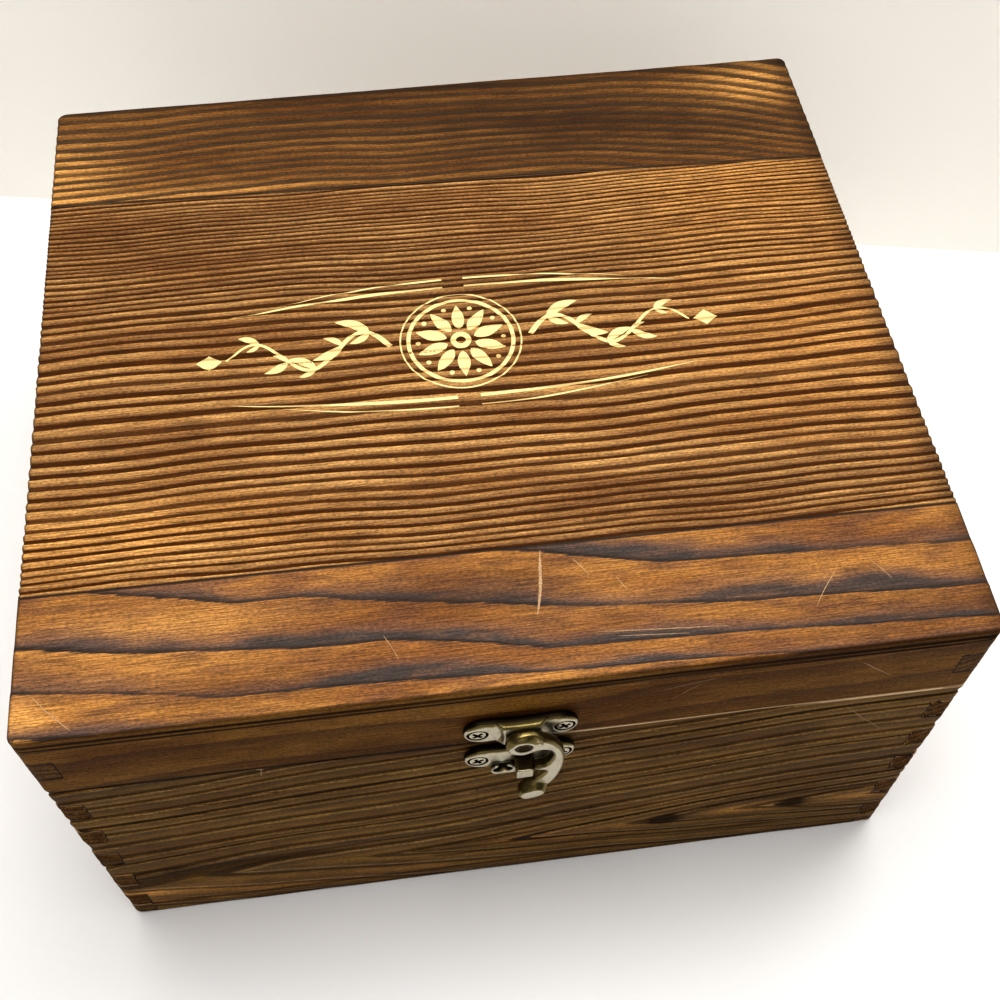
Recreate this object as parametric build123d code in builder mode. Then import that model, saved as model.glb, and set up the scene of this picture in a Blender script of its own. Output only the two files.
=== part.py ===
from build123d import *
import math
import os

# Hinged wooden box: a finger-jointed tray and lid, a three-strip lid panel,
# a hook latch in front and two stop hinges behind. Millimetres, +Z up.
# The origin is the middle of the underside, and the front faces -Y.

# Driving dimensions of the wooden box
box_width = 230.0
box_depth = 210.0
tray_height = 98.0
lid_height = 29.1
seam_gap = 0.4
board_thickness = 7.0
top_panel_thickness = 5.0
bottom_panel_thickness = 4.0
rebate_width = 3.5
bottom_panel_clearance = 0.15
corner_round = 2.8
top_round = 1.8

# Corner fingers, counted up from the underside
finger_height = 9.0
finger_pitch = 18.0
first_finger_start = -1.5

# Seams between the three strips of the lid panel, as Y at the left and right ends
front_seam = (-67.6, -68.8)
back_seam = (63.7, 58.1)

# Screws: a cross-head wood screw for the latch and a smaller one for the hinges
latch_screw_head_radius = 2.4
latch_screw_head_height = 1.0
latch_screw_shank_radius = 1.2
hinge_screw_head_radius = 2.0
hinge_screw_head_height = 0.8
hinge_screw_shank_radius = 1.0
screw_grip = 5.5
screw_tip = 0.7
screw_clearance = 0.1
cross_length_share = 1.3
cross_width = 0.55
cross_depth = 0.5

# Latch: two cast plates of one outline, a hook on a hollow rivet, and a square post
latch_centre_x = 0.0
latch_plate_rise = 9.0
keeper_plate_drop = 6.3
latch_screw_spacing = 21.0
wing_radius = 4.9
wing_spacing = 18.0
neck_height = 8.8
middle_radius = 5.3
wing_thickness = 2.2
boss_radius = 5.0
boss_top = 3.7
plate_edge_round = 0.5
pivot_rise = 0.2
ring_radius = 4.3
hook_thickness = 3.0
hook_lift = 0.2
hook_edge_round = 0.7
foot_step = 1.7
foot_width = 4.6
rivet_radius = 1.5
rivet_head_radius = 2.1
rivet_head_depth = 1.0
rivet_dish_radius = 1.0
rivet_dish_depth = 0.6
rivet_flange_radius = 2.3
rivet_flange_thickness = 0.8
running_clearance = 0.05
post_width = 4.3
post_height = 4.3
post_left = -1.5
post_drop = 2.5
post_setback = 0.1
sill_width = 14.6
sill_height = 4.0
sill_drop = 6.0
sill_clearance = 0.3
small_round = 0.4

# Hinges: a leaf on each side of the seam, five knuckles on one pin, and two stop ears
hinge_offset = 65.0
hinge_width = 25.0
leaf_height = 13.0
leaf_thickness = 1.0
leaf_corner_round = 2.0
knuckle_count = 5
knuckle_radius = 2.0
knuckle_gap = 0.2
pin_radius = 1.0
pin_head_radius = 1.6
pin_head_length = 0.9
knuckle_clearance = 0.2
ear_thickness = 1.2
ear_width = 4.0
lid_opening = 95.0
ear_clearance = 1.0
ear_root = 130.0
hinge_screw_spacing = 15.0
hinge_screw_height = 8.2

# Sizes worked out from those above
lid_bottom = tray_height + seam_gap
total_height = lid_bottom + lid_height
frame_top = total_height - top_panel_thickness
board_mid_x = box_width / 2 - board_thickness / 2
board_mid_y = box_depth / 2 - board_thickness / 2
rebate_x = box_width - 2 * (board_thickness - rebate_width)
rebate_y = box_depth - 2 * (board_thickness - rebate_width)
front_face = Plane.XZ.offset(box_depth / 2)
back_face = Plane(origin=(0, box_depth / 2, 0), x_dir=(-1, 0, 0), z_dir=(0, 1, 0))
hinge_axis_y = box_depth / 2 + knuckle_radius + knuckle_clearance
hinge_axis_z = tray_height + seam_gap / 2
latch_seat = wing_thickness - latch_screw_head_height
hinge_seat = leaf_thickness - hinge_screw_head_height / 2
ear_tip = (lid_opening + ear_clearance) / 2
hook_back = boss_top + hook_lift
hook_front = hook_back + hook_thickness
foot_top = hook_front + foot_step
latch_plate_height = lid_bottom + latch_plate_rise
pivot_height = latch_plate_height + pivot_rise
keeper_plate_height = tray_height - keeper_plate_drop
post_bottom = keeper_plate_height - post_drop
post_top = hook_front - post_setback
sill_bottom = keeper_plate_height - sill_drop
sill_top = hook_back - sill_clearance

latch_points = [
    (latch_centre_x - latch_screw_spacing / 2, latch_plate_height),
    (latch_centre_x + latch_screw_spacing / 2, latch_plate_height),
]
keeper_points = [
    (latch_centre_x - latch_screw_spacing / 2, keeper_plate_height),
    (latch_centre_x + latch_screw_spacing / 2, keeper_plate_height),
]


def hinge_points(centre_x, side):
    """Screw places of one leaf on the back face: side is 1 for the lid and -1 for the tray."""
    height = hinge_axis_z + side * hinge_screw_height
    half = hinge_screw_spacing / 2
    return [(-centre_x - half, height), (-centre_x + half, height)]


def save(piece, name):
    """Label a finished piece and write it to its own file."""
    piece.part.label = name
    export_step(piece.part, f"parts/{name}.step")


def side_fingers(low, high):
    """Heights of the side boards' fingers between low and high, as (bottom, top) pairs."""
    count = math.ceil((high - first_finger_start) / finger_pitch)
    starts = [first_finger_start + i * finger_pitch for i in range(count)]
    cut = [(max(start, low), min(start + finger_height, high)) for start in starts]
    return [(bottom, top) for bottom, top in cut if top > bottom]


def front_fingers(low, high):
    """Heights left between the side boards' fingers, where the front and back boards' fingers lie."""
    edges = [low] + [edge for band in side_fingers(low, high) for edge in band] + [high]
    gaps = list(zip(edges[0::2], edges[1::2]))
    return [(bottom, top) for bottom, top in gaps if top > bottom]


def wall_board(centre, length, along_x, low, high, screw_holes=()):
    """One finger-jointed board, with the bottom rebate if it stands on the underside.

    Each entry of screw_holes is a plane on the board's outer face, the points on it and a radius.
    """
    size = (length, board_thickness) if along_x else (board_thickness, length)
    reach = (length - board_thickness) / 2
    ends = [(-reach, 0), (reach, 0)] if along_x else [(0, -reach), (0, reach)]
    sockets = side_fingers(low, high) if along_x else front_fingers(low, high)
    with BuildPart() as board:
        with BuildSketch(Plane.XY.offset(low)):
            with Locations(centre):
                Rectangle(*size)
        extrude(amount=high - low)
        for bottom, top in sockets:
            with BuildSketch(Plane.XY.offset(bottom)):
                with Locations([(centre[0] + x, centre[1] + y) for x, y in ends]):
                    Rectangle(board_thickness, board_thickness)
            extrude(amount=top - bottom, mode=Mode.SUBTRACT)
        with BuildSketch(Plane.XY.offset(low)):
            RectangleRounded(box_width, box_depth, corner_round)
        extrude(amount=high - low, mode=Mode.INTERSECT)
        if low == 0:
            with BuildSketch(Plane.XY):
                Rectangle(rebate_x, rebate_y)
            extrude(amount=bottom_panel_thickness, mode=Mode.SUBTRACT)
        for face, points, radius in screw_holes:
            with BuildSketch(face):
                with Locations(points):
                    Circle(radius)
            extrude(amount=-screw_grip - screw_clearance, mode=Mode.SUBTRACT)
    return board


def lid_strip(front_edge, back_edge):
    """One strip of the lid panel between two edges, each given as Y at its left and right end."""
    half = box_width / 2
    corners = [(-half, front_edge[0]), (half, front_edge[1]), (half, back_edge[1]), (-half, back_edge[0])]
    with BuildPart() as strip:
        with BuildSketch(Plane.XY.offset(frame_top)):
            RectangleRounded(box_width, box_depth, corner_round)
        extrude(amount=top_panel_thickness)
        fillet(strip.edges().group_by(Axis.Z)[-1], top_round)
        with BuildSketch(Plane.XY.offset(frame_top)):
            Polygon(*corners, align=None)
        extrude(amount=top_panel_thickness, mode=Mode.INTERSECT)
    return strip


def screws(face, points, seat, head_radius, head_height, shank_radius):
    """Cross-head screws whose heads sit at height seat above a face of the box."""
    with BuildPart() as group:
        with BuildSketch(face.offset(-screw_grip)):
            with Locations(points):
                Circle(shank_radius)
        extrude(amount=screw_grip + seat)
        chamfer(group.edges().filter_by(GeomType.CIRCLE).group_by(Axis(face.origin, face.z_dir))[0], screw_tip)
        with BuildSketch(face.offset(seat)):
            with Locations(points):
                Circle(head_radius)
        extrude(amount=head_height)
        fillet(group.edges().filter_by(GeomType.CIRCLE).group_by(Axis(face.origin, face.z_dir))[-1], head_height / 2)
        with BuildSketch(face.offset(seat + head_height)):
            with Locations(points):
                Rectangle(head_radius * cross_length_share, cross_width)
                Rectangle(cross_width, head_radius * cross_length_share)
        extrude(amount=-cross_depth, mode=Mode.SUBTRACT)
    return group


def plate_blank(height, points):
    """The cast blank that both latch plates share, with its two screw holes and head recesses."""
    with BuildPart() as blank:
        with BuildSketch(front_face):
            with Locations((latch_centre_x, height)):
                Rectangle(wing_spacing, neck_height)
                Circle(middle_radius)
                with GridLocations(wing_spacing, 0, 2, 1):
                    Circle(wing_radius)
        extrude(amount=wing_thickness)
        fillet(blank.faces().sort_by(Axis.Y)[0].outer_wire().edges(), plate_edge_round)
        with BuildSketch(front_face):
            with Locations(points):
                Circle(latch_screw_shank_radius + screw_clearance)
        extrude(amount=wing_thickness, mode=Mode.SUBTRACT)
        with BuildSketch(front_face.offset(latch_seat)):
            with Locations(points):
                Circle(latch_screw_head_radius + screw_clearance)
        extrude(amount=latch_screw_head_height, mode=Mode.SUBTRACT)
    return blank


def ear_spot(radius, degrees, side):
    """A point round the hinge axis in the YZ plane, measured from +Y towards the leaf's own side."""
    angle = math.radians(degrees)
    return (hinge_axis_y + radius * math.cos(angle), hinge_axis_z + side * radius * math.sin(angle))


def knuckle_span(index):
    """Start and end of one knuckle along the pin: there is half a gap at each end but the outermost."""
    pitch = hinge_width / knuckle_count
    start = -hinge_width / 2 + index * pitch
    end = start + pitch
    inner_start = start if index == 0 else start + knuckle_gap / 2
    inner_end = end if index == knuckle_count - 1 else end - knuckle_gap / 2
    return inner_start, inner_end


def hinge_leaf(centre_x, side):
    """One leaf with its knuckles and stop ear: side is 1 for the lid's and -1 for the tray's."""
    pitch = hinge_width / knuckle_count
    first = 1 if side > 0 else 0
    own = [knuckle_span(i) for i in range(first, knuckle_count, 2)]
    others = [-hinge_width / 2 + (i + 0.5) * pitch for i in range(1 - first, knuckle_count, 2)]
    notch = knuckle_radius + knuckle_gap
    ear_outer = notch + ear_thickness
    ear_angles = [ear_tip, (ear_tip + ear_root) / 2, ear_root]
    with BuildPart() as leaf:
        with BuildSketch(back_face):
            with Locations((-centre_x, hinge_axis_z + side * leaf_height / 2)):
                Rectangle(hinge_width, leaf_height)
        extrude(amount=leaf_thickness)
        outer_corners = leaf.edges().filter_by(Axis.Y).sort_by(Axis.Z, reverse=side > 0)[:2]
        fillet(outer_corners, leaf_corner_round)
        with BuildSketch(back_face):
            with Locations([(-centre_x - x, hinge_axis_z) for x in others]):
                Rectangle(pitch + knuckle_gap, 2 * notch)
        extrude(amount=leaf_thickness, mode=Mode.SUBTRACT)
        for start, end in own:
            with BuildSketch(Plane.YZ.offset(centre_x + start)):
                with Locations((hinge_axis_y, hinge_axis_z)):
                    Circle(knuckle_radius)
            extrude(amount=end - start)
        with BuildSketch(Plane.YZ.offset(centre_x - ear_width / 2)):
            with BuildLine():
                ThreePointArc(*[ear_spot(notch, angle, side) for angle in ear_angles])
                Line(ear_spot(notch, ear_root, side), ear_spot(ear_outer, ear_root, side))
                ThreePointArc(*[ear_spot(ear_outer, angle, side) for angle in reversed(ear_angles)])
                Line(ear_spot(ear_outer, ear_tip, side), ear_spot(notch, ear_tip, side))
            make_face()
        extrude(amount=ear_width)
        with BuildSketch(Plane.YZ.offset(centre_x - hinge_width / 2)):
            with Locations((hinge_axis_y, hinge_axis_z)):
                Circle(pin_radius + running_clearance)
        extrude(amount=hinge_width, mode=Mode.SUBTRACT)
        with BuildSketch(back_face):
            with Locations(hinge_points(centre_x, side)):
                Circle(hinge_screw_shank_radius + screw_clearance)
        extrude(amount=leaf_thickness, mode=Mode.SUBTRACT)
        with BuildSketch(back_face.offset(hinge_seat)):
            with Locations(hinge_points(centre_x, side)):
                Circle(hinge_screw_head_radius + screw_clearance)
        extrude(amount=leaf_thickness, mode=Mode.SUBTRACT)
    return leaf


def hinge_pin(centre_x):
    """The pin, with a rounded head at each end that keeps it in the knuckles."""
    with BuildPart() as pin:
        with BuildSketch(Plane.YZ.offset(centre_x - hinge_width / 2)):
            with Locations((hinge_axis_y, hinge_axis_z)):
                Circle(pin_radius)
        extrude(amount=hinge_width)
        left_end = centre_x - hinge_width / 2
        right_end = centre_x + hinge_width / 2
        for start, length in ((left_end, -pin_head_length), (right_end, pin_head_length)):
            with BuildSketch(Plane.YZ.offset(start)):
                with Locations((hinge_axis_y, hinge_axis_z)):
                    Circle(pin_head_radius)
            extrude(amount=length)
        fillet(pin.edges().filter_by(GeomType.CIRCLE).group_by(Axis.X)[0], pin_head_length / 2)
        fillet(pin.edges().filter_by(GeomType.CIRCLE).group_by(Axis.X)[-1], pin_head_length / 2)
    return pin


os.makedirs("parts", exist_ok=True)

# Tray
latch_hole = latch_screw_shank_radius + screw_clearance
hinge_hole = hinge_screw_shank_radius + screw_clearance
keeper_holes = [(front_face, keeper_points, latch_hole)]
tray_hinge_holes = [(back_face, hinge_points(x, -1), hinge_hole) for x in (-hinge_offset, hinge_offset)]

base_front_board = wall_board((0, -board_mid_y), box_width, True, 0, tray_height, keeper_holes)
save(base_front_board, "base_front_board")
base_back_board = wall_board((0, board_mid_y), box_width, True, 0, tray_height, tray_hinge_holes)
save(base_back_board, "base_back_board")
base_left_board = wall_board((-board_mid_x, 0), box_depth, False, 0, tray_height)
save(base_left_board, "base_left_board")
base_right_board = wall_board((board_mid_x, 0), box_depth, False, 0, tray_height)
save(base_right_board, "base_right_board")

with BuildPart() as bottom_panel:
    with BuildSketch(Plane.XY):
        Rectangle(rebate_x - 2 * bottom_panel_clearance, rebate_y - 2 * bottom_panel_clearance)
    extrude(amount=bottom_panel_thickness)
save(bottom_panel, "bottom_panel")

# Lid
latch_holes = [(front_face, latch_points, latch_hole)]
lid_hinge_holes = [(back_face, hinge_points(x, 1), hinge_hole) for x in (-hinge_offset, hinge_offset)]

lid_front_board = wall_board((0, -board_mid_y), box_width, True, lid_bottom, frame_top, latch_holes)
save(lid_front_board, "lid_front_board")
lid_back_board = wall_board((0, board_mid_y), box_width, True, lid_bottom, frame_top, lid_hinge_holes)
save(lid_back_board, "lid_back_board")
lid_left_board = wall_board((-board_mid_x, 0), box_depth, False, lid_bottom, frame_top)
save(lid_left_board, "lid_left_board")
lid_right_board = wall_board((board_mid_x, 0), box_depth, False, lid_bottom, frame_top)
save(lid_right_board, "lid_right_board")

front_end = (-box_depth / 2, -box_depth / 2)
back_end = (box_depth / 2, box_depth / 2)
lid_top_strip_front = lid_strip(front_end, front_seam)
save(lid_top_strip_front, "lid_top_strip_front")
lid_top_strip_middle = lid_strip(front_seam, back_seam)
save(lid_top_strip_middle, "lid_top_strip_middle")
lid_top_strip_back = lid_strip(back_seam, back_end)
save(lid_top_strip_back, "lid_top_strip_back")

# Upper latch plate, with a raised middle that the hook turns on
with BuildPart() as latch_plate:
    add(plate_blank(latch_plate_height, latch_points).part)
    with BuildSketch(front_face.offset(wing_thickness)):
        with Locations((latch_centre_x, pivot_height)):
            Circle(boss_radius)
    extrude(amount=boss_top - wing_thickness, taper=20)
    with BuildSketch(front_face):
        with Locations((latch_centre_x, pivot_height)):
            Circle(rivet_radius + running_clearance)
    extrude(amount=boss_top, mode=Mode.SUBTRACT)
    with BuildSketch(front_face):
        with Locations((latch_centre_x, pivot_height)):
            Circle(rivet_flange_radius + running_clearance)
    extrude(amount=rivet_flange_thickness, mode=Mode.SUBTRACT)
save(latch_plate, "latch_plate")

# Lower latch plate, with a sill along its foot and a square post for the hook
with BuildPart() as keeper_plate:
    add(plate_blank(keeper_plate_height, keeper_points).part)
    with BuildSketch(front_face):
        with Locations((latch_centre_x, sill_bottom + sill_height / 2)):
            RectangleRounded(sill_width, sill_height, sill_height / 2 - small_round)
    extrude(amount=sill_top)
    with BuildSketch(front_face):
        with Locations((post_left + post_width / 2, post_bottom + post_height / 2)):
            RectangleRounded(post_width, post_height, small_round)
    extrude(amount=post_top)
    fillet(keeper_plate.faces().sort_by(Axis.Y)[0].outer_wire().edges(), small_round / 2)
save(keeper_plate, "keeper_plate")

# Hollow rivet: a flange behind the plate, a shank and a dished head in the hook's recess
head_seat = hook_front - rivet_head_depth + running_clearance
with BuildPart() as latch_rivet:
    with BuildSketch(front_face):
        with Locations((latch_centre_x, pivot_height)):
            Circle(rivet_flange_radius)
    extrude(amount=rivet_flange_thickness)
    with BuildSketch(front_face):
        with Locations((latch_centre_x, pivot_height)):
            Circle(rivet_radius)
    extrude(amount=head_seat)
    with BuildSketch(front_face.offset(head_seat)):
        with Locations((latch_centre_x, pivot_height)):
            Circle(rivet_head_radius)
    extrude(amount=rivet_head_depth)
    fillet(latch_rivet.edges().filter_by(GeomType.CIRCLE).group_by(Axis.Y)[0], small_round)
    with BuildSketch(front_face.offset(head_seat + rivet_head_depth)):
        with Locations((latch_centre_x, pivot_height)):
            Circle(rivet_dish_radius)
    extrude(amount=-rivet_dish_depth, mode=Mode.SUBTRACT)
save(latch_rivet, "latch_rivet")

# Hook: a ring, an arm that sweeps round the post, and a thicker foot for the finger
hook_plane = Plane(origin=(latch_centre_x, -box_depth / 2, pivot_height), x_dir=(1, 0, 0), z_dir=(0, -1, 0))
with BuildPart() as latch_hook:
    with BuildSketch(hook_plane.offset(hook_back)) as hook_outline:
        with BuildLine():
            shoulder = TangentArc((0, ring_radius), (6.8, 1.3), tangent=(1, 0))
            elbow = TangentArc(shoulder @ 1, (10.2, -8.0), tangent=shoulder % 1)
            forearm = TangentArc(elbow @ 1, (8.2, -22.0), tangent=elbow % 1)
            heel = TangentArc(forearm @ 1, (2.0, -29.0), tangent=forearm % 1)
            toe = TangentArc(heel @ 1, (-0.8, -25.3), tangent=heel % 1)
            Polyline(toe @ 1, (3.4, -21.6), (5.6, -15.6), (3.3, -14.3), (3.2, -13.4), (5.8, -12.0))
            throat = ThreePointArc((5.8, -12.0), (7.4, -6.0), (5.2, -2.4))
            Polyline(throat @ 1, (0, -1.0), (0, ring_radius))
        make_face()
        Circle(ring_radius)
    extrude(amount=hook_thickness)
    with BuildSketch(hook_plane.offset(hook_back)):
        with Locations((2.9, -25.6)):
            SlotOverall(7.4, foot_width, rotation=18)
    extrude(amount=foot_top - hook_back)
    fillet(latch_hook.faces().sort_by(Axis.Y)[0].outer_wire().edges(), hook_edge_round)
    with BuildSketch(hook_plane.offset(hook_back)):
        Circle(rivet_radius + running_clearance)
    extrude(amount=hook_thickness, mode=Mode.SUBTRACT)
    with BuildSketch(hook_plane.offset(hook_front - rivet_head_depth)):
        Circle(rivet_head_radius + screw_clearance)
    extrude(amount=rivet_head_depth, mode=Mode.SUBTRACT)
save(latch_hook, "latch_hook")

latch_plate_screws = screws(
    front_face, latch_points, latch_seat,
    latch_screw_head_radius, latch_screw_head_height, latch_screw_shank_radius,
)
save(latch_plate_screws, "latch_plate_screws")
keeper_plate_screws = screws(
    front_face, keeper_points, latch_seat,
    latch_screw_head_radius, latch_screw_head_height, latch_screw_shank_radius,
)
save(keeper_plate_screws, "keeper_plate_screws")

# Hinges
for hinge_name, hinge_x in (("left_hinge", -hinge_offset), ("right_hinge", hinge_offset)):
    save(hinge_leaf(hinge_x, 1), f"{hinge_name}_lid_leaf")
    save(hinge_leaf(hinge_x, -1), f"{hinge_name}_tray_leaf")
    save(hinge_pin(hinge_x), f"{hinge_name}_pin")
    for leaf_name, leaf_side in (("lid", 1), ("tray", -1)):
        hinge_screws = screws(
            back_face, hinge_points(hinge_x, leaf_side), hinge_seat,
            hinge_screw_head_radius, hinge_screw_head_height, hinge_screw_shank_radius,
        )
        save(hinge_screws, f"{hinge_name}_{leaf_name}_screws")
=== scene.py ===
import math

import bpy
import numpy as np
from bpy.props import FloatProperty, FloatVectorProperty, PointerProperty
from mathutils import Euler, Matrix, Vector, kdtree


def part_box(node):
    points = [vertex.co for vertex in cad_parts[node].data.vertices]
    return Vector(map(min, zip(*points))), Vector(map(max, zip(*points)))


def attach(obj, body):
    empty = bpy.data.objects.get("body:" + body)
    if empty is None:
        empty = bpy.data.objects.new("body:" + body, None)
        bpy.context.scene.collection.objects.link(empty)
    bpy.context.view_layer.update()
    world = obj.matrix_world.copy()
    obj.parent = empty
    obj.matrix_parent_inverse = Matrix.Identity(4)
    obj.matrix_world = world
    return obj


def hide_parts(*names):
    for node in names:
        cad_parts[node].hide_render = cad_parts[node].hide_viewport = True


bl_info = {
    "name": "Torched Pine Box",
    "version": (1, 0, 0),
    "blender": (4, 5, 0),
    "location": "View3D > Sidebar > Pine Box",
    "description": "Builds the brushed boards, latch, hinges and stage of a hinged wooden box",
    "category": "Object",
}

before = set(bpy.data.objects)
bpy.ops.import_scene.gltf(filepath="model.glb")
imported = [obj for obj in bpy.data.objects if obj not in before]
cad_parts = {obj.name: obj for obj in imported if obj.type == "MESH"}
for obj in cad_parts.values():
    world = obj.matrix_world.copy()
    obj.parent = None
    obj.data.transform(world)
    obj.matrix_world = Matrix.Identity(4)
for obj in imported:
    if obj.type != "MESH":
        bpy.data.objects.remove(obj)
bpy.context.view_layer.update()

MM = 0.001


def cad_span(node, axis):
    """Lowest and highest coordinate of a CAD node along one axis, in millimetres."""
    low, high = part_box(node)
    return low[axis] / MM, high[axis] / MM


def cad_levels(node, axis, beside, place):
    """The places along one axis where a CAD node has corners, looking only at its points at one place beside."""
    points = np.array([v.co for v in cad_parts[node].data.vertices]) / MM
    near = np.abs(points[:, beside] - place) < 0.01
    return sorted(set(np.round(points[near, axis], 2)))


# Sizes read from the frame, in millimetres
HALF_WIDTH = cad_span("base_left_board", 0)[0] * -1
HALF_DEPTH = cad_span("base_front_board", 1)[0] * -1
BOARD = HALF_DEPTH + cad_span("base_front_board", 1)[1]
TRAY_TOP = cad_span("base_front_board", 2)[1]
LID_BOTTOM, FRAME_TOP = cad_span("lid_front_board", 2)
BOX_TOP = cad_span("lid_top_strip_middle", 2)[1]
PANEL_FLOOR = cad_span("bottom_panel", 2)[1]
PANEL_HALF_WIDTH = cad_span("bottom_panel", 0)[1]
PANEL_HALF_DEPTH = cad_span("bottom_panel", 1)[1]
FRONT_SEAM = [max(cad_levels("lid_top_strip_front", 1, 0, side * HALF_WIDTH)) for side in (-1, 1)]
BACK_SEAM = [min(cad_levels("lid_top_strip_back", 1, 0, side * HALF_WIDTH)) for side in (-1, 1)]
PIVOT_Z = sum(cad_span("latch_rivet", 2)) / 2
UPPER_PLATE_Z = sum(cad_span("latch_plate_screws", 2)) / 2
LOWER_PLATE_Z = sum(cad_span("keeper_plate_screws", 2)) / 2
SCREW_X = (cad_span("latch_plate_screws", 0)[1] - cad_span("latch_plate_screws", 0)[0]) / 2 - 2.4
RIVET_FRONT = -HALF_DEPTH - cad_span("latch_rivet", 1)[0]
FOOT_FRONT = -HALF_DEPTH - cad_span("latch_hook", 1)[0]

# How the wood is cut and eased
CORNER_ROUND = 2.8
TOP_ROUND = 1.2
RIM_ROUND = 0.5
FOOT_ROUND = 1.0
EDGE_STEPS = (0.25, 0.6, 1.1, 1.8, 2.8)
ACROSS_STEP = 0.36
ALONG_STEP = 2.2
HIDDEN_STEP = 4.0
CREASE_ANGLE = 50


class WoodSettings(bpy.types.PropertyGroup):
    ridge_depth: FloatProperty(
        name="Ridge depth", description="How deep the soft wood is brushed out", default=0.42 * MM, unit="LENGTH")
    early_wood: FloatVectorProperty(
        name="Soft wood", description="Colour of the pale part of each ring", subtype="COLOR",
        default=(0.47, 0.215, 0.068), min=0, max=1)
    late_wood: FloatVectorProperty(
        name="Hard wood", description="Colour of the dark part of each ring", subtype="COLOR",
        default=(0.050, 0.0145, 0.0005), min=0, max=1)
    golden_wood: FloatVectorProperty(
        name="Golden wood", description="Colour where the torch barely touched", subtype="COLOR",
        default=(0.72, 0.36, 0.10), min=0, max=1)
    char: FloatVectorProperty(
        name="Char", description="Colour of burnt edges and joints", subtype="COLOR",
        default=(0.018, 0.010, 0.006), min=0, max=1)
    burnt_ring: FloatVectorProperty(
        name="Burnt ring", description="Colour of the broad burnt rings of the front strip", subtype="COLOR",
        default=(0.050, 0.036, 0.030), min=0, max=1)
    smoked_ring: FloatVectorProperty(
        name="Smoked ring", description="Colour of the dark part of each ring on the walls", subtype="COLOR",
        default=(0.060, 0.034, 0.015), min=0, max=1)
    bare_wood: FloatVectorProperty(
        name="Bare pine", description="Colour of the untorched inside and rims", subtype="COLOR",
        default=(0.58, 0.36, 0.17), min=0, max=1)
    engraved_wood: FloatVectorProperty(
        name="Engraved wood", description="Colour of the engraved ornament", subtype="COLOR",
        default=(0.80, 0.63, 0.27), min=0, max=1)


class LatchSettings(bpy.types.PropertyGroup):
    # Dark colour of the patina in the recesses, also used as painted shade on the sides near the wood
    patina: FloatVectorProperty(
        name="Patina", description="Dark colour in the latch's recesses", subtype="COLOR",
        default=(0.020, 0.014, 0.008), min=0, max=1)
    bronze: FloatVectorProperty(
        name="Bronze", description="Olive colour of the latch's rounded sides", subtype="COLOR",
        default=(0.175, 0.135, 0.050), min=0, max=1)
    worn_metal: FloatVectorProperty(
        name="Worn metal", description="Pale colour of the latch's rubbed faces", subtype="COLOR",
        default=(0.50, 0.455, 0.34), min=0, max=1)


class StageSettings(bpy.types.PropertyGroup):
    floor: FloatVectorProperty(
        name="Floor", description="Colour of the table", subtype="COLOR", default=(0.86, 0.85, 0.85), min=0, max=1)
    wall: FloatVectorProperty(
        name="Wall", description="Colour of the wall behind", subtype="COLOR", default=(0.84, 0.812, 0.752), min=0, max=1)
    light_power: FloatProperty(
        name="Light power", description="Strength of the main light in watts", default=6.9, unit="POWER")


# Shader steps
def feed(tree, socket, value):
    """Join another node's output to a socket, or set the socket to a plain value."""
    if isinstance(value, bpy.types.NodeSocket):
        tree.links.new(value, socket)
    else:
        socket.default_value = value


def attribute(tree, name, output="Fac"):
    node = tree.nodes.new("ShaderNodeAttribute")
    node.attribute_name = name
    return node.outputs[output]


def maths(tree, operation, first, second=0.0, clamp=False):
    node = tree.nodes.new("ShaderNodeMath")
    node.operation = operation
    node.use_clamp = clamp
    feed(tree, node.inputs[0], first)
    feed(tree, node.inputs[1], second)
    return node.outputs[0]


def eased(tree, value, start, end, low=0.0, high=1.0):
    """A smooth step from low to high while value goes from start to end."""
    node = tree.nodes.new("ShaderNodeMapRange")
    node.interpolation_type = "SMOOTHSTEP"
    for name, item in (("Value", value), ("From Min", start), ("From Max", end), ("To Min", low), ("To Max", high)):
        feed(tree, node.inputs[name], item)
    return node.outputs["Result"]


def stretched(tree, vector, factors):
    node = tree.nodes.new("ShaderNodeVectorMath")
    node.operation = "MULTIPLY"
    feed(tree, node.inputs[0], vector)
    node.inputs[1].default_value = factors
    return node.outputs["Vector"]


def noise(tree, vector, scale=1.0, detail=2.0, roughness=0.5):
    node = tree.nodes.new("ShaderNodeTexNoise")
    feed(tree, node.inputs["Vector"], vector)
    node.inputs["Scale"].default_value = scale
    node.inputs["Detail"].default_value = detail
    node.inputs["Roughness"].default_value = roughness
    return node.outputs["Fac"]


def random_per_step(tree, value):
    """A steady random number for each whole number that value passes."""
    node = tree.nodes.new("ShaderNodeTexWhiteNoise")
    node.noise_dimensions = "1D"
    feed(tree, node.inputs["W"], maths(tree, "FLOOR", value))
    return node.outputs["Value"]


def mixed(tree, share, first, second, blend="MIX"):
    node = tree.nodes.new("ShaderNodeMix")
    node.data_type = "RGBA"
    node.blend_type = blend
    feed(tree, node.inputs["Factor"], share)
    for socket, value in ((node.inputs["A"], first), (node.inputs["B"], second)):
        sockets = [s for s in node.inputs if s.name == socket.name and s.type == "RGBA"]
        feed(tree, sockets[0], value if isinstance(value, bpy.types.NodeSocket) else (*value, 1)[:4])
    return [s for s in node.outputs if s.type == "RGBA"][0]


def bumped(tree, height, distance, strength=1.0):
    node = tree.nodes.new("ShaderNodeBump")
    node.inputs["Strength"].default_value = strength
    node.inputs["Distance"].default_value = distance
    feed(tree, node.inputs["Height"], height)
    return node.outputs["Normal"]


def new_material(name):
    """A material with a node tree that holds only its output and its shader."""
    material = bpy.data.materials.new(name)
    material.use_nodes = True
    tree = material.node_tree
    tree.nodes.clear()
    shader = tree.nodes.new("ShaderNodeBsdfPrincipled")
    output = tree.nodes.new("ShaderNodeOutputMaterial")
    tree.links.new(shader.outputs["BSDF"], output.inputs["Surface"])
    return material, tree, shader


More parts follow.
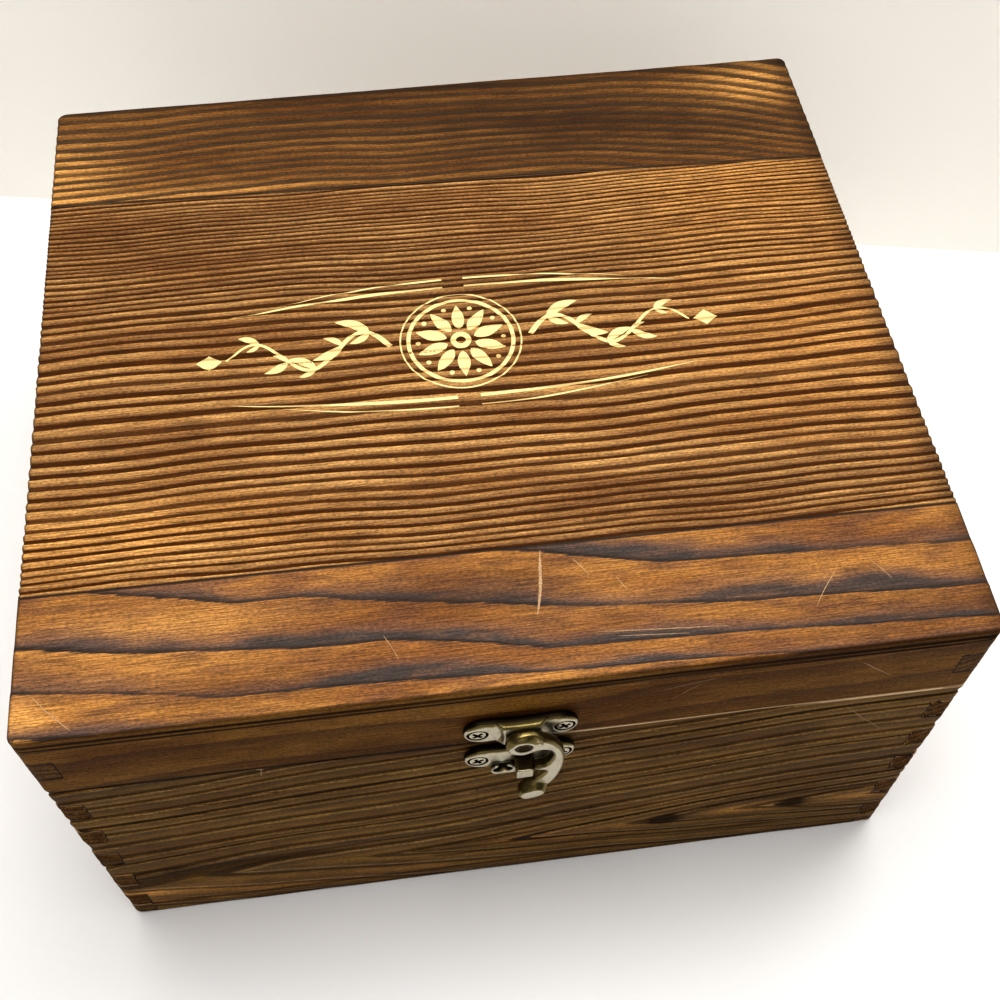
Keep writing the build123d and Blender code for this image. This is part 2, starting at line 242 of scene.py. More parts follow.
def torched_pine(name, dark_from, dark_full, contrast=1.0, tint=(1.0, 1.0, 1.0), gloss=1.35, hard_wood="late_wood",
                 halo=None, groove=None, shade=0.0, end_grain=False):
    """Torched and brushed pine: dark_from and dark_full say where in a ring the hard wood begins and is darkest.
    shade is how brown the soft wood turns before it.
    halo is where a purple tinge begins before it, and groove is the share of a ring that a groove of char with painted
    shade takes after it, next to a painted highlight on the crest."""
    wood = bpy.context.scene.pine_box_wood
    material, tree, shader = new_material(name)
    grain = attribute(tree, "grain", "Vector")
    fibre = noise(tree, stretched(tree, grain, (0.10, 3.2, 3.2)), 1.0, 4.0, 0.62)
    streak = noise(tree, stretched(tree, grain, (0.035, 1.1, 1.1)), 1.0, 2.0)
    cloud = noise(tree, stretched(tree, grain, (0.016, 0.07, 0.07)), 1.0, 3.0, 0.6)
    speck = noise(tree, stretched(tree, grain, (0.9, 2.6, 2.6)), 1.0, 3.0, 0.75)
    ragged = maths(tree, "MULTIPLY", maths(tree, "SUBTRACT", streak, 0.5), 0.12)
    frayed = maths(tree, "MULTIPLY", maths(tree, "SUBTRACT", fibre, 0.5), 0.10)
    ring = maths(tree, "ADD", attribute(tree, "ring"), maths(tree, "ADD", ragged, frayed))
    fraction = maths(tree, "FRACT", ring)
    chance = random_per_step(tree, ring)
    closing = eased(tree, fraction, 1.0, 0.97)
    shift = maths(tree, "MULTIPLY", attribute(tree, "dense"), 0.08)
    if halo:
        swell = noise(tree, stretched(tree, grain, (0.024, 0.06, 0.06)), 1.0, 2.0)
        narrowed = maths(tree, "MULTIPLY", attribute(tree, "dense"), 0.09)
        shift = maths(tree, "SUBTRACT", maths(tree, "MULTIPLY", maths(tree, "SUBTRACT", swell, 0.48), 1.15), narrowed)
        brink = maths(tree, "MULTIPLY", eased(tree, fraction, 0.88, 0.96), closing)
    if groove:
        cut = maths(tree, "MULTIPLY", eased(tree, fraction, 0.06, 0.10), eased(tree, fraction, groove, 0.65 * groove))
        crest = maths(tree, "MAXIMUM", eased(tree, fraction, 0.07, 0.03), eased(tree, fraction, 0.92, 0.96))
    fraction = maths(tree, "ADD", fraction, maths(tree, "MULTIPLY", shift, closing))
    hard = maths(tree, "MULTIPLY", eased(tree, fraction, dark_from, dark_full), closing)
    hard = maths(tree, "MULTIPLY", hard, eased(tree, chance, 0.0, 0.5, 0.86 * contrast, contrast), True)
    early = mixed(tree, eased(tree, cloud, 0.36, 0.66), wood.early_wood, (0.27, 0.105, 0.028))
    early = mixed(tree, eased(tree, chance, 0.45, 0.95, 0.0, 0.42), early, (0.17, 0.066, 0.022))
    if halo:
        blotch = noise(tree, stretched(tree, grain, (0.05, 0.24, 0.24)), 1.0, 3.0, 0.6)
        early = mixed(tree, eased(tree, blotch, 0.40, 0.66, 0.0, 0.75), early, (0.16, 0.066, 0.040))
        hard = maths(tree, "MULTIPLY", hard, eased(tree, blotch, 0.36, 0.52, 0.45, 1.0))
        hard = maths(tree, "MULTIPLY", hard, eased(tree, attribute(tree, "dense"), 0.0, 1.0, 1.0, 0.7))
    early = mixed(tree, 1.0, early, tint, "MULTIPLY")
    early = mixed(tree, eased(tree, fraction, 0.35 * dark_from, dark_from, 0.0, shade), early, (0.13, 0.055, 0.022))
    golden = maths(tree, "MULTIPLY", attribute(tree, "gold"), eased(tree, fibre, 0.25, 0.7, 0.55, 1.0), True)
    early = mixed(tree, golden, early, wood.golden_wood)
    if halo:
        near = maths(tree, "MULTIPLY", eased(tree, fraction, halo, dark_full), closing)
        early = mixed(tree, maths(tree, "MULTIPLY", near, eased(tree, cloud, 0.3, 0.7, 0.95, 0.5)), early, (0.115, 0.062, 0.047))
    colour = mixed(tree, hard, early, getattr(wood, hard_wood))
    if halo:
        colour = mixed(tree, maths(tree, "MULTIPLY", brink, eased(tree, swell, 0.35, 0.55, 0.45, 0.85)), colour, wood.char)
    if groove:
        # Painted highlight on each ring's crest, and char with painted shade in the groove
        colour = mixed(tree, maths(tree, "MULTIPLY", crest, eased(tree, chance, 0.3, 0.95, 0.02, 0.24)), colour, (0.60, 0.42, 0.22))
        colour = mixed(tree, maths(tree, "MULTIPLY", cut, eased(tree, chance, 0.0, 0.6, 0.95, 0.7)), colour, wood.char)
    colour = mixed(tree, 1.0, colour, mixed(tree, eased(tree, fibre, 0.30, 0.70), (0.50,) * 3, (1.42,) * 3), "MULTIPLY")
    colour = mixed(tree, 1.0, colour, mixed(tree, eased(tree, speck, 0.34, 0.66), (0.62,) * 3, (1.36,) * 3), "MULTIPLY")
    burnt = maths(tree, "MULTIPLY", attribute(tree, "burn"), eased(tree, streak, 0.2, 0.8, 0.85, 1.1), True)
    colour = mixed(tree, burnt, colour, wood.char)
    joint_line = eased(tree, attribute(tree, "joint"), 0.64, 0.22, 0.0, 0.95)
    edge_line = eased(tree, attribute(tree, "edge"), 1.3, 0.1, 0.0, 0.70)
    colour = mixed(tree, maths(tree, "MAXIMUM", joint_line, edge_line), colour, wood.char)
    colour = mixed(tree, attribute(tree, "worn"), colour, (0.90, 0.68, 0.42))
    if end_grain:
        colour = mixed(tree, 0.15, colour, wood.char)
    feed(tree, shader.inputs["Base Color"], colour)
    roughness = eased(tree, hard, 0.0, 1.0, 0.58, 0.48)
    feed(tree, shader.inputs["Roughness"], maths(tree, "ADD", roughness, maths(tree, "MULTIPLY", burnt, 0.35), True))
    shader.inputs["IOR"].default_value = gloss
    shader.inputs["Specular IOR Level"].default_value = 0.40
    relief = maths(tree, "ADD", maths(tree, "MULTIPLY", fibre, 0.7), maths(tree, "MULTIPLY", speck, 0.5))
    feed(tree, shader.inputs["Normal"], bumped(tree, relief, 0.18 * MM, 0.85))
    return material


def bare_pine(name):
    """Untorched, planed pine for the inside and the rims."""
    wood = bpy.context.scene.pine_box_wood
    material, tree, shader = new_material(name)
    grain = attribute(tree, "grain", "Vector")
    fibre = noise(tree, stretched(tree, grain, (0.08, 2.4, 2.4)), 1.0, 4.0, 0.6)
    ring = maths(tree, "ADD", attribute(tree, "ring"), maths(tree, "MULTIPLY", fibre, 0.12))
    fraction = maths(tree, "FRACT", ring)
    hard = maths(tree, "MULTIPLY", eased(tree, fraction, 0.45, 0.95), eased(tree, fraction, 1.0, 0.96))
    colour = mixed(tree, maths(tree, "MULTIPLY", hard, 0.7), wood.bare_wood, (0.36, 0.17, 0.06))
    colour = mixed(tree, 1.0, colour, mixed(tree, eased(tree, fibre, 0.3, 0.7), (0.84,) * 3, (1.1,) * 3), "MULTIPLY")
    colour = mixed(tree, eased(tree, attribute(tree, "scorch"), 0.0, 1.0, 0.0, 0.93), colour, wood.char)
    feed(tree, shader.inputs["Base Color"], colour)
    feed(tree, shader.inputs["Roughness"], eased(tree, fibre, 0.3, 0.7, 0.62, 0.72))
    feed(tree, shader.inputs["Normal"], bumped(tree, fibre, 0.08 * MM, 0.6))
    return material


def engraved_pine():
    """The pale wood of the engraved ornament, with the rings still showing faintly."""
    wood = bpy.context.scene.pine_box_wood
    material, tree, shader = new_material("engraved_pine")
    grain = attribute(tree, "grain", "Vector")
    fibre = noise(tree, stretched(tree, grain, (0.12, 2.8, 2.8)), 1.0, 3.0, 0.6)
    fraction = maths(tree, "FRACT", attribute(tree, "ring"))
    hard = maths(tree, "MULTIPLY", eased(tree, fraction, 0.66, 0.78), eased(tree, fraction, 1.0, 0.93))
    faint = maths(tree, "MULTIPLY", hard, eased(tree, fibre, 0.36, 0.60, 0.28, 0.85))
    colour = mixed(tree, faint, wood.engraved_wood, (0.40, 0.24, 0.085))
    colour = mixed(tree, 1.0, colour, mixed(tree, eased(tree, fibre, 0.3, 0.7), (0.80,) * 3, (1.06,) * 3), "MULTIPLY")
    feed(tree, shader.inputs["Base Color"], colour)
    feed(tree, shader.inputs["Roughness"], eased(tree, fibre, 0.3, 0.7, 0.5, 0.65))
    feed(tree, shader.inputs["Normal"], bumped(tree, fibre, 0.08 * MM, 0.5))
    return material


def antique_bronze(name, shine=0.0, patina_and_shade_shift=0.0):
    """Cast metal with dark patina in its recesses and painted shade on its sides near the wood, olive sides and rubbed,
    silvery faces and edges.
    """
    metal = bpy.context.scene.pine_box_latch
    material, tree, shader = new_material(name)
    place = tree.nodes.new("ShaderNodeTexCoord").outputs["Object"]
    cloud = noise(tree, place, 420.0, 3.0, 0.6)
    grit = noise(tree, place, 2600.0, 3.0, 0.6)
    rubbed = maths(tree, "ADD", attribute(tree, "wear"), maths(tree, "MULTIPLY", maths(tree, "SUBTRACT", cloud, 0.5), 0.7))
    rubbed = eased(tree, rubbed, 0.42 - shine, 0.80 - shine)
    # The hollow mask holds patina in the recesses plus painted shade on the sides near the wood, both mixed to the dark
    # colour
    hollow = maths(tree, "ADD", attribute(tree, "hollow"), maths(tree, "MULTIPLY", maths(tree, "SUBTRACT", grit, 0.5), 0.3))
    hollow = eased(tree, hollow, 0.30 - patina_and_shade_shift, 0.85 - patina_and_shade_shift)
    colour = mixed(tree, rubbed, metal.bronze, metal.worn_metal)
    colour = mixed(tree, hollow, colour, metal.patina)
    colour = mixed(tree, 1.0, colour, mixed(tree, eased(tree, grit, 0.3, 0.7), (0.85,) * 3, (1.08,) * 3), "MULTIPLY")
    feed(tree, shader.inputs["Base Color"], colour)
    shader.inputs["Metallic"].default_value = 1.0
    roughness = maths(tree, "ADD", eased(tree, rubbed, 0.0, 1.0, 0.29, 0.34), eased(tree, hollow, 0.0, 1.0, 0.0, 0.2))
    feed(tree, shader.inputs["Roughness"], maths(tree, "ADD", roughness, eased(tree, grit, 0.3, 0.7, -0.02, 0.04)))
    feed(tree, shader.inputs["Normal"], bumped(tree, maths(tree, "ADD", cloud, maths(tree, "MULTIPLY", grit, 0.12)), 0.05 * MM, 0.2))
    return material


def once(maker, *arguments, **options):
    """The material that a maker gives, made only the first time."""
    key = arguments[0] if arguments else maker.__name__
    return bpy.data.materials.get(key) or maker(*arguments, **options)


# Growth rings: each function gives how many rings lie between the start and a point
def ripple(along, across, seed, size):
    """Slow waves of the grain, at most about size millimetres high."""
    draw = np.random.default_rng(seed)
    total = 0
    for length in (190.0, 110.0, 67.0, 41.0):
        turn, lean = draw.uniform(0, 2 * math.pi), draw.uniform(-0.9, 0.9)
        total = total + length * np.sin(2 * math.pi * (along / length + lean * across / 60) + turn)
    return total * size / 300


def ring_edges(low, high, widths, seed, known=(), vary=0.17):
    """Ring boundaries from low to high, each as wide as widths says there, give or take the share vary, after the known ones."""
    draw = np.random.default_rng(seed)
    edges = [low, *known]
    while edges[-1] < high:
        width = np.interp(edges[-1], [w[0] for w in widths], [w[1] for w in widths])
        edges.append(edges[-1] + width * draw.uniform(1 - vary, 1 + vary))
    return np.array(edges)


def ring_count(distance, edges):
    return np.interp(distance, edges, np.arange(len(edges)))


def straight_rings(widths, seed, wave=0.8, lean=0.25, tilt=0.0, bend=(0.0, 1.0, 0.0), vary=0.17):
    """Nearly parallel rings. bend is the start, the end and the drop of a curve at the high end of the board."""
    low, high = widths[0][0] - 25, widths[-1][0] + 25
    edges = ring_edges(low, high, widths, seed, vary=vary)

    def rings(along, across, depth):
        drop = bend[2] * np.clip((along - bend[0]) / (bend[1] - bend[0]), 0, None) ** 2
        place = across + lean * depth + tilt * along + drop + ripple(along, across, seed, wave)
        return ring_count(place, edges)
    return rings


def sawn_rings(seed, lean):
    """Rings of a side board, which run straight through it and show as slanting lines on its ends."""
    return straight_rings([(0, 2.8), (40, 3.6), (80, 2.7), (128, 3.1)], seed, wave=1.7, lean=lean, vary=0.3)


def hearted_rings(heart, cover, narrowing, width, seed, wave=1.0, known=(), point=1.3, spread=0.72):
    """Rings round a heart that lies cover deep at mid length and comes nearer along the board, as pointed figure.
    Away from the heart they are wider, by as much as spread is under 1."""
    edges = ring_edges(0, 260, [(0, width)], seed, known, 0.45)

    def rings(along, across, depth):
        middle = heart + ripple(along, 0 * across, seed + 1, 1.6 * wave)
        deep = np.maximum(cover - narrowing * along, 1.5) + depth
        away = np.abs(across - middle)
        away = spread * away + (1 - spread) * 8 * (1 - np.exp(-away / 8))
        distance = (away ** point + deep ** point) ** (1 / point)
        return ring_count(distance + ripple(along, across, seed, wave), edges)
    return rings


def traced(points, along):
    """A smooth line through a few (along, across) points."""
    fine = np.linspace(-HALF_WIDTH - 20, HALF_WIDTH + 20, 260)
    rough = np.interp(fine, [p[0] for p in points], [p[1] for p in points])
    kernel = np.hanning(15)
    soft = np.convolve(np.pad(rough, 7, mode="edge"), kernel / kernel.sum(), "valid")
    return np.interp(along, fine, soft)


def banded_rings(bands, seed, wave=0.5):
    """Broad flat-sawn rings between dark bands that are each traced from end to end."""
    def rings(along, across, depth):
        place = across + 0.9 * depth + ripple(along, across, seed, wave)
        lines = np.array([traced(band, along) for band in bands])
        upper = 2 * lines[0] - lines[1]
        total = (upper - place) / np.maximum(upper - lines[0], 0.5)
        for step in range(len(bands) - 1):
            share = (lines[step] - place) / np.maximum(lines[step] - lines[step + 1], 0.5)
            total = np.where(share > 0, step + 1 + share, total)
        return np.clip(total, -3, len(bands) + 3)
    return rings


def ridge(rings, dark_from):
    """Height of the brushed wood across a ring: 1 on the crest where it begins, 0 in the groove before the hard wood."""
    fraction = rings % 1
    falling = 1 - np.clip(fraction / dark_from, 0, 1) ** 1.6
    rising = np.clip((fraction - dark_from) / (1 - dark_from), 0, 1)
    return np.where(fraction < dark_from, falling, rising * rising * (3 - 2 * rising))


def ledge(rings):
    """Height of a board's brushed wood across a ring: the hard wood ends in a sharp ledge above a narrow groove."""
    fraction = rings % 1
    return np.maximum(1 - fraction / 0.12, step_up(fraction, 0.22, 0.8))


def ring_chance(rings):
    """A steady random number for each ring."""
    return np.modf(np.abs(np.sin(np.floor(rings) * 12.9898) * 43758.5453))[0]


def spot(x, y, centre, size):
    return np.exp(-((x - centre[0]) / size[0]) ** 2 - ((y - centre[1]) / size[1]) ** 2)


# Timber: a piece is a few blocks, whose brushed faces get a fine grid
def grid_lines(edges, step, shell):
    """Grid lines through every edge, with closer lines behind the outer faces at the places in shell."""
    marks = set(edges)
    for face, inward in shell:
        marks |= {face + inward * offset for offset in EDGE_STEPS}
    marks = sorted(m for m in marks if edges[0] <= m <= edges[-1])
    kept = [marks[0]]
    for mark in marks[1:]:
        if mark - kept[-1] > 0.12:
            kept.append(mark)
        elif mark in edges:
            kept[-1] = mark
    lines = [kept[0]]
    for start, end in zip(kept, kept[1:]):
        count = max(1, round((end - start) / step))
        lines += [start + (end - start) * i / count for i in range(1, count + 1)]
    return np.array(lines)


def every(low, high, lines, step):
    """Positions from low to high in lines, about step millimetres apart."""
    count = max(1, round((lines[high] - lines[low]) / step))
    return sorted(set(int(round(p)) for p in np.linspace(low, high, count + 1)))


def coarse_faces(number, rows, columns):
    """Large faces whose outer sides take in every fine point, so that they meet the fine faces with no gap."""
    faces = []
    first_row, last_row = rows[0], rows[-1]
    first_column, last_column = columns[0], columns[-1]
    for r0, r1 in zip(rows, rows[1:]):
        for c0, c1 in zip(columns, columns[1:]):
            face = [(r, c0) for r in (range(r0, r1) if c0 == first_column else [r0])]
            face += [(r1, c) for c in (range(c0, c1) if r1 == last_row else [c0])]
            face += [(r, c1) for r in (range(r1, r0, -1) if c1 == last_column else [r1])]
            face += [(r0, c) for c in (range(c1, c0, -1) if r0 == first_row else [c1])]
            faces.append([number(r, c) for r, c in face])
    return faces


def block_faces(lines, edges, filled, finish_of):
    """Faces of the solid that is made of the filled blocks, with the finish of each, as grid point numbers."""
    at = [[int(np.argmin(np.abs(line - edge))) for edge in marks] for line, marks in zip(lines, edges)]
    sizes = [len(line) for line in lines]
    faces, finishes = [], []
    solid = np.pad(filled, 1)
    for axis in range(3):
        a, b = (axis + 1) % 3, (axis + 2) % 3
        turned = np.transpose(solid, (axis, a, b))
        for i in range(turned.shape[0] - 1):
            for j in range(1, turned.shape[1] - 1):
                for k in range(1, turned.shape[2] - 1):
                    if turned[i, j, k] == turned[i + 1, j, k]:
                        continue
                    outward = 1 if turned[i, j, k] else -1
                    finish = finish_of(axis, edges[axis][i], outward)

                    def number(r, c, axis=axis, a=a, b=b, i=i):
                        point = [0, 0, 0]
                        point[axis], point[a], point[b] = at[axis][i], r, c
                        return (point[0] * sizes[1] + point[1]) * sizes[2] + point[2]
                    if finish in ("face", "end", "side"):
                        rows, columns = np.arange(at[a][j - 1], at[a][j] + 1), np.arange(at[b][k - 1], at[b][k] + 1)
                        ids = number(rows[:, None], columns[None, :])
                        new = np.stack([ids[:-1, :-1], ids[1:, :-1], ids[1:, 1:], ids[:-1, 1:]], -1).reshape(-1, 4).tolist()
                    else:
                        rows = every(at[a][j - 1], at[a][j], lines[a], HIDDEN_STEP)
                        columns = every(at[b][k - 1], at[b][k], lines[b], HIDDEN_STEP)
                        new = coarse_faces(number, rows, columns)
                    faces += [face if outward > 0 else face[::-1] for face in new]
                    finishes += [finish] * len(new)
    return faces, finishes


def inset(x, y):
    """How far a point lies inside the box's rounded outline, and the outward direction there."""
    over_x = np.abs(x) - (HALF_WIDTH - CORNER_ROUND)
    over_y = np.abs(y) - (HALF_DEPTH - CORNER_ROUND)
    corner = (over_x > 0) & (over_y > 0)
    reach = np.hypot(over_x, over_y)
    flat = np.maximum(over_x, over_y)
    distance = CORNER_ROUND - np.where(corner, reach, flat)
    side = over_x > over_y
    nx = np.where(corner, over_x / np.maximum(reach, 1e-9), side) * np.sign(x)
    ny = np.where(corner, over_y / np.maximum(reach, 1e-9), ~side) * np.sign(y)
    return distance, nx, ny


def round_off(points, low, high, low_round, high_round):
    """Bring the square edges of the body's outer shell onto its rounded corners and eased rims."""
    x, y, z = points.T
    over_x = np.maximum(np.abs(x) - (HALF_WIDTH - CORNER_ROUND), 0)
    over_y = np.maximum(np.abs(y) - (HALF_DEPTH - CORNER_ROUND), 0)
    reach = np.hypot(over_x, over_y)
    shrink = np.where(reach > 0, np.maximum(over_x, over_y) / np.maximum(reach, 1e-9), 1)
    x = x - np.sign(x) * over_x * (1 - shrink)
    y = y - np.sign(y) * over_y * (1 - shrink)
    for level, inward, radius in ((low, 1, low_round), (high, -1, high_round)):
        distance, nx, ny = inset(x, y)
        over_side = np.maximum(radius - distance, 0)
        over_end = np.maximum(radius - inward * (z - level), 0)
        reach = np.hypot(over_side, over_end)
        shrink = np.where((over_side > 0) & (over_end > 0), np.maximum(over_side, over_end) / np.maximum(reach, 1e-9), 1)
        x = x - nx * over_side * (1 - shrink)
        y = y - ny * over_side * (1 - shrink)
        z = z + inward * over_end * (1 - shrink)
    return np.stack([x, y, z], 1)


def outward_normals(points, faces):
    """Normals of the points from the given four-sided faces alone."""
    quads = np.array(faces)
    cross = np.cross(points[quads[:, 2]] - points[quads[:, 0]], points[quads[:, 3]] - points[quads[:, 1]])
    normals = np.zeros_like(points)
    for corner in range(4):
        np.add.at(normals, quads[:, corner], cross)
    return normals / np.maximum(np.linalg.norm(normals, axis=1), 1e-12)[:, None]


def distance_to(points, targets, limit):
    """How far each point is from the nearest target, up to a limit."""
    if not len(targets):
        return np.full(len(points), limit)
    tree = kdtree.KDTree(len(targets))
    for i, target in enumerate(targets):
        tree.insert(target, i)
    tree.balance()
    return np.array([min(tree.find(point)[2], limit) for point in points])


def add_attribute(mesh, name, values):
    kind = "FLOAT_VECTOR" if np.ndim(values) == 2 else "FLOAT"
    layer = mesh.attributes.new(name, kind, "POINT")
    layer.data.foreach_set("vector" if kind == "FLOAT_VECTOR" else "value", np.asarray(values, np.float32).ravel())


def add_object(name, points, faces):
    mesh = bpy.data.meshes.new(name)
    mesh.from_pydata((points * MM).tolist(), [], faces)
    mesh.update()
    mesh.polygons.foreach_set("use_smooth", [True] * len(mesh.polygons))
    piece = bpy.data.objects.new(name, mesh)
    bpy.context.scene.collection.objects.link(piece)
    return piece


def fit_piece(piece, body, slot, *nodes):
    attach(piece, body)
    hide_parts(*nodes)


class Timber:
    """How one board or strip is cut: its blocks, its grain, and the look of its torched faces."""

    def __init__(self, node, body, along, across, rings, material, dark_from=0.62, depth_share=1.0, step=ACROSS_STEP,
                 along_step=ALONG_STEP, burn=None, gold=None, dense=None):
        self.node = node
        self.body = body
        self.along, self.across = along, across
        self.through = 3 - along - across
        self.rings = rings
        self.material = material
        self.dark_from = dark_from
        self.depth_share = depth_share
        self.step, self.along_step = step, along_step
        self.burn, self.gold, self.dense = burn, gold, dense

    def carved(self, rings, z):
        """How deep the brushing has gone at a level."""
        share = self.depth_share(z) if callable(self.depth_share) else self.depth_share
        return brushed_depth(rings, self.dark_from, share)


def shell_of(body):
    """Lowest and highest level of a body, and how round its outer edges are there."""
    return (0.0, TRAY_TOP, FOOT_ROUND, RIM_ROUND) if body == "base" else (LID_BOTTOM, BOX_TOP, RIM_ROUND, TOP_ROUND)


def build_timber(timber, edges, filled, skew=None):
    """Make one wooden piece from its blocks, brush its outer faces and store what the wood's shader needs."""
    low, high, low_round, high_round = shell_of(timber.body)
    steps = [HIDDEN_STEP] * 3
    steps[timber.along] = timber.along_step
    steps[timber.across] = timber.step
    steps[timber.through] = 0.35 if timber.through == 2 else 0.7
    shell = [[(-HALF_WIDTH, 1), (HALF_WIDTH, -1)], [(-HALF_DEPTH, 1), (HALF_DEPTH, -1)], [(low, 1), (high, -1)]]
    lines = [grid_lines(marks, step, near) for marks, step, near in zip(edges, steps, shell)]
    outer = (HALF_WIDTH, HALF_DEPTH)

    def finish_of(axis, place, outward):
        if axis < 2 and abs(place - outward * outer[axis]) < 0.01:
            return "end" if axis == timber.along else "side" if timber.through == 2 else "face"
        if axis == 2 and outward > 0 and abs(place - BOX_TOP) < 0.01:
            return "face"
        rim = axis == 2 and min(abs(place - TRAY_TOP), abs(place - LID_BOTTOM), abs(place)) < 0.01
        inside = axis < 2 and abs(abs(place) - (outer[axis] - BOARD)) < 0.01 and place * outward < 0
        under = timber.body == "lid" and axis == 2 and outward < 0 and abs(place - FRAME_TOP) < 0.01
        return "bare" if rim or inside or under else "joint"

    faces, finishes = block_faces(lines, edges, filled, finish_of)
    used = sorted(set(index for face in faces for index in face))
    renumber = {index: i for i, index in enumerate(used)}
    faces = [[renumber[index] for index in face] for face in faces]
    sizes = [len(line) for line in lines]
    numbers = np.array(used)
    grid = np.stack([numbers // (sizes[1] * sizes[2]), numbers // sizes[2] % sizes[1], numbers % sizes[2]], 1)
    points = np.stack([lines[axis][grid[:, axis]] for axis in range(3)], 1)
    if skew:
        points = skew(points)
    points = round_off(points, low, high, low_round, high_round)

    along, across = points[:, timber.along], points[:, timber.across]
    if timber.through == 2:
        depth = BOX_TOP - points[:, 2]
    else:
        depth = outer[timber.through] - np.abs(points[:, timber.through])
    rings = timber.rings(along, across, depth)
    shown = [face for face, finish in zip(faces, finishes) if finish in ("face", "end", "side")]
    shown_points = sorted(set(index for face in shown for index in face))
    glued = set(index for face, finish in zip(faces, finishes) if finish == "joint" for index in face)
    border = points[[index for index in shown_points if index in glued]]
    joint = np.full(len(points), 3.0)
    joint[shown_points] = distance_to(points[shown_points], border, 3.0)
    normals = outward_normals(points, shown)
    carved = timber.carved(rings, points[:, 2])
    brushed = np.zeros(len(points))
    brushed[shown_points] = carved[shown_points]
    placed = points - normals * brushed[:, None]

    gaps = np.sort(np.stack([HALF_WIDTH - np.abs(points[:, 0]), HALF_DEPTH - np.abs(points[:, 1]),
                             np.minimum(points[:, 2] - low, high - points[:, 2])], 1), axis=1)
    piece = add_object(timber.node + "_timber", placed, faces)
    mesh = piece.data
    add_attribute(mesh, "ring", rings)
    add_attribute(mesh, "grain", np.stack([along, across, depth], 1))
    add_attribute(mesh, "joint", joint)
    add_attribute(mesh, "edge", gaps[:, 1])
    for look in ("burn", "gold", "dense"):
        value = getattr(timber, look)
        add_attribute(mesh, look, value(*points.T) if value else np.zeros(len(points)))
    spared = step_up(points[:, 0], 0, 12) * (points[:, 1] < 0)
    add_attribute(mesh, "scorch", step_up(gaps[:, 1], 0.9, 0.4) * (1 - spared))
    rubbed_rim = spared * step_up(points[:, 2], TRAY_TOP - 1.1, TRAY_TOP - 0.5) * (timber.body == "base") * step_up(gaps[:, 1], 1.2, 0.3)
    add_attribute(mesh, "worn", rubbed_rim)
    for material in (timber.material, once(torched_pine, "torched_end_grain", 0.50, 0.68, 1.0, (0.44, 0.49, 0.36), 1.12, end_grain=True),
                     once(bare_pine, "bare_pine"), lid_wall_pine()):
        mesh.materials.append(material)
    slots = {"face": 0, "end": 1, "bare": 2, "joint": 2, "side": 3}
    mesh.polygons.foreach_set("material_index", [slots[finish] for finish in finishes])
    mesh.set_sharp_from_angle(angle=math.radians(CREASE_ANGLE))
    fit_piece(piece, timber.body, "torched_pine", timber.node)
    return piece


def finger_levels(node):
    """Heights of a front or back board's finger joints and of its own two edges, from the frame."""
    inner = cad_levels(node, 2, 0, -(HALF_WIDTH - BOARD))
    return sorted({*cad_span(node, 2), *(level for level in inner if level != PANEL_FLOOR)})


def board_blocks(timber, levels, sockets_first):
    """Edges and filled blocks of a finger-jointed board. sockets_first says whether its lowest finger is cut away."""
    length_half = (HALF_WIDTH, HALF_DEPTH)[timber.along]
    side_half = (HALF_WIDTH, HALF_DEPTH)[timber.through]
    side = -1 if timber.node.endswith(("front_board", "left_board")) else 1
    thick = sorted([side * side_half, side * (side_half - BOARD)])
    ends = [-length_half, -length_half + BOARD, length_half - BOARD, length_half]
    heights = list(levels)
    rebate = timber.body == "base"
    ledge = side * ((HALF_WIDTH, HALF_DEPTH)[timber.through] - BOARD / 2)
    if rebate:
        thick = sorted(thick + [ledge])
        heights = sorted(set(heights + [PANEL_FLOOR]))
    edges = [None] * 3
    edges[timber.along], edges[timber.through], edges[2] = ends, thick, heights
    if rebate:
        inner = -length_half + BOARD / 2
        edges[timber.along] = sorted(ends + [inner, -inner])
    shape = [len(marks) - 1 for marks in edges]
    filled = np.ones(shape, bool)
    for cell in np.ndindex(*shape):
        middle = [(edges[axis][cell[axis]] + edges[axis][cell[axis] + 1]) / 2 for axis in range(3)]
        band = sum(level < middle[2] for level in levels[1:])
        in_end = abs(middle[timber.along]) > length_half - BOARD
        if in_end and (band % 2 == 0) == sockets_first:
            filled[cell] = False
        inside = abs(middle[0]) < HALF_WIDTH - BOARD / 2 and abs(middle[1]) < HALF_DEPTH - BOARD / 2
        if rebate and inside and middle[2] < PANEL_FLOOR:
            filled[cell] = False
    return edges, filled


# The rings of each piece, read off the photograph where it shows them
LID_MIDDLE_RINGS = straight_rings(
    [(-68, 2.2), (-50, 2.7), (-35, 3.8), (0, 3.9), (12, 3.0), (33, 1.8), (66, 1.7)], seed=11, wave=1.0, tilt=0.006, vary=0.26)


def flipped(rings):
    """The same rings counted towards the front, so that each crest faces the viewer's side."""
    return lambda along, across, depth: 400 - rings(along, across, depth)


LID_MIDDLE_RINGS = flipped(LID_MIDDLE_RINGS)
LID_BACK_RINGS = flipped(straight_rings(
    [(55, 3.4), (75, 3.3), (90, 3.9), (108, 4.2)], seed=23, wave=1.6, bend=(20, 110, 15)))
FRONT_STRIP_BANDS = (
    ((-115, -54), (0, -69.3), (37, -76.4), (92, -78.7), (115, -80.7)),
    ((-115, -65), (-87, -70.4), (-64, -75.5), (-50, -75.6), (-21, -80.9), (7, -85.3), (50, -89.1), (115, -93.1)),
    ((-115, -81), (-88, -86.0), (-52, -89.1), (-27, -89.8), (9, -96.2), (50, -97.3), (115, -101.7)),
    ((-115, -92.6), (-67, -99.4), (-38, -99.8), (-5, -101.3), (58, -103.9), (115, -108)),
)
LID_FRONT_RINGS = banded_rings(FRONT_STRIP_BANDS, seed=31)
MIDDLE_RIDGE = 0.62
FRONT_RIDGE, FRONT_DEPTH = 0.8, 0.3


SANDED = 0.06


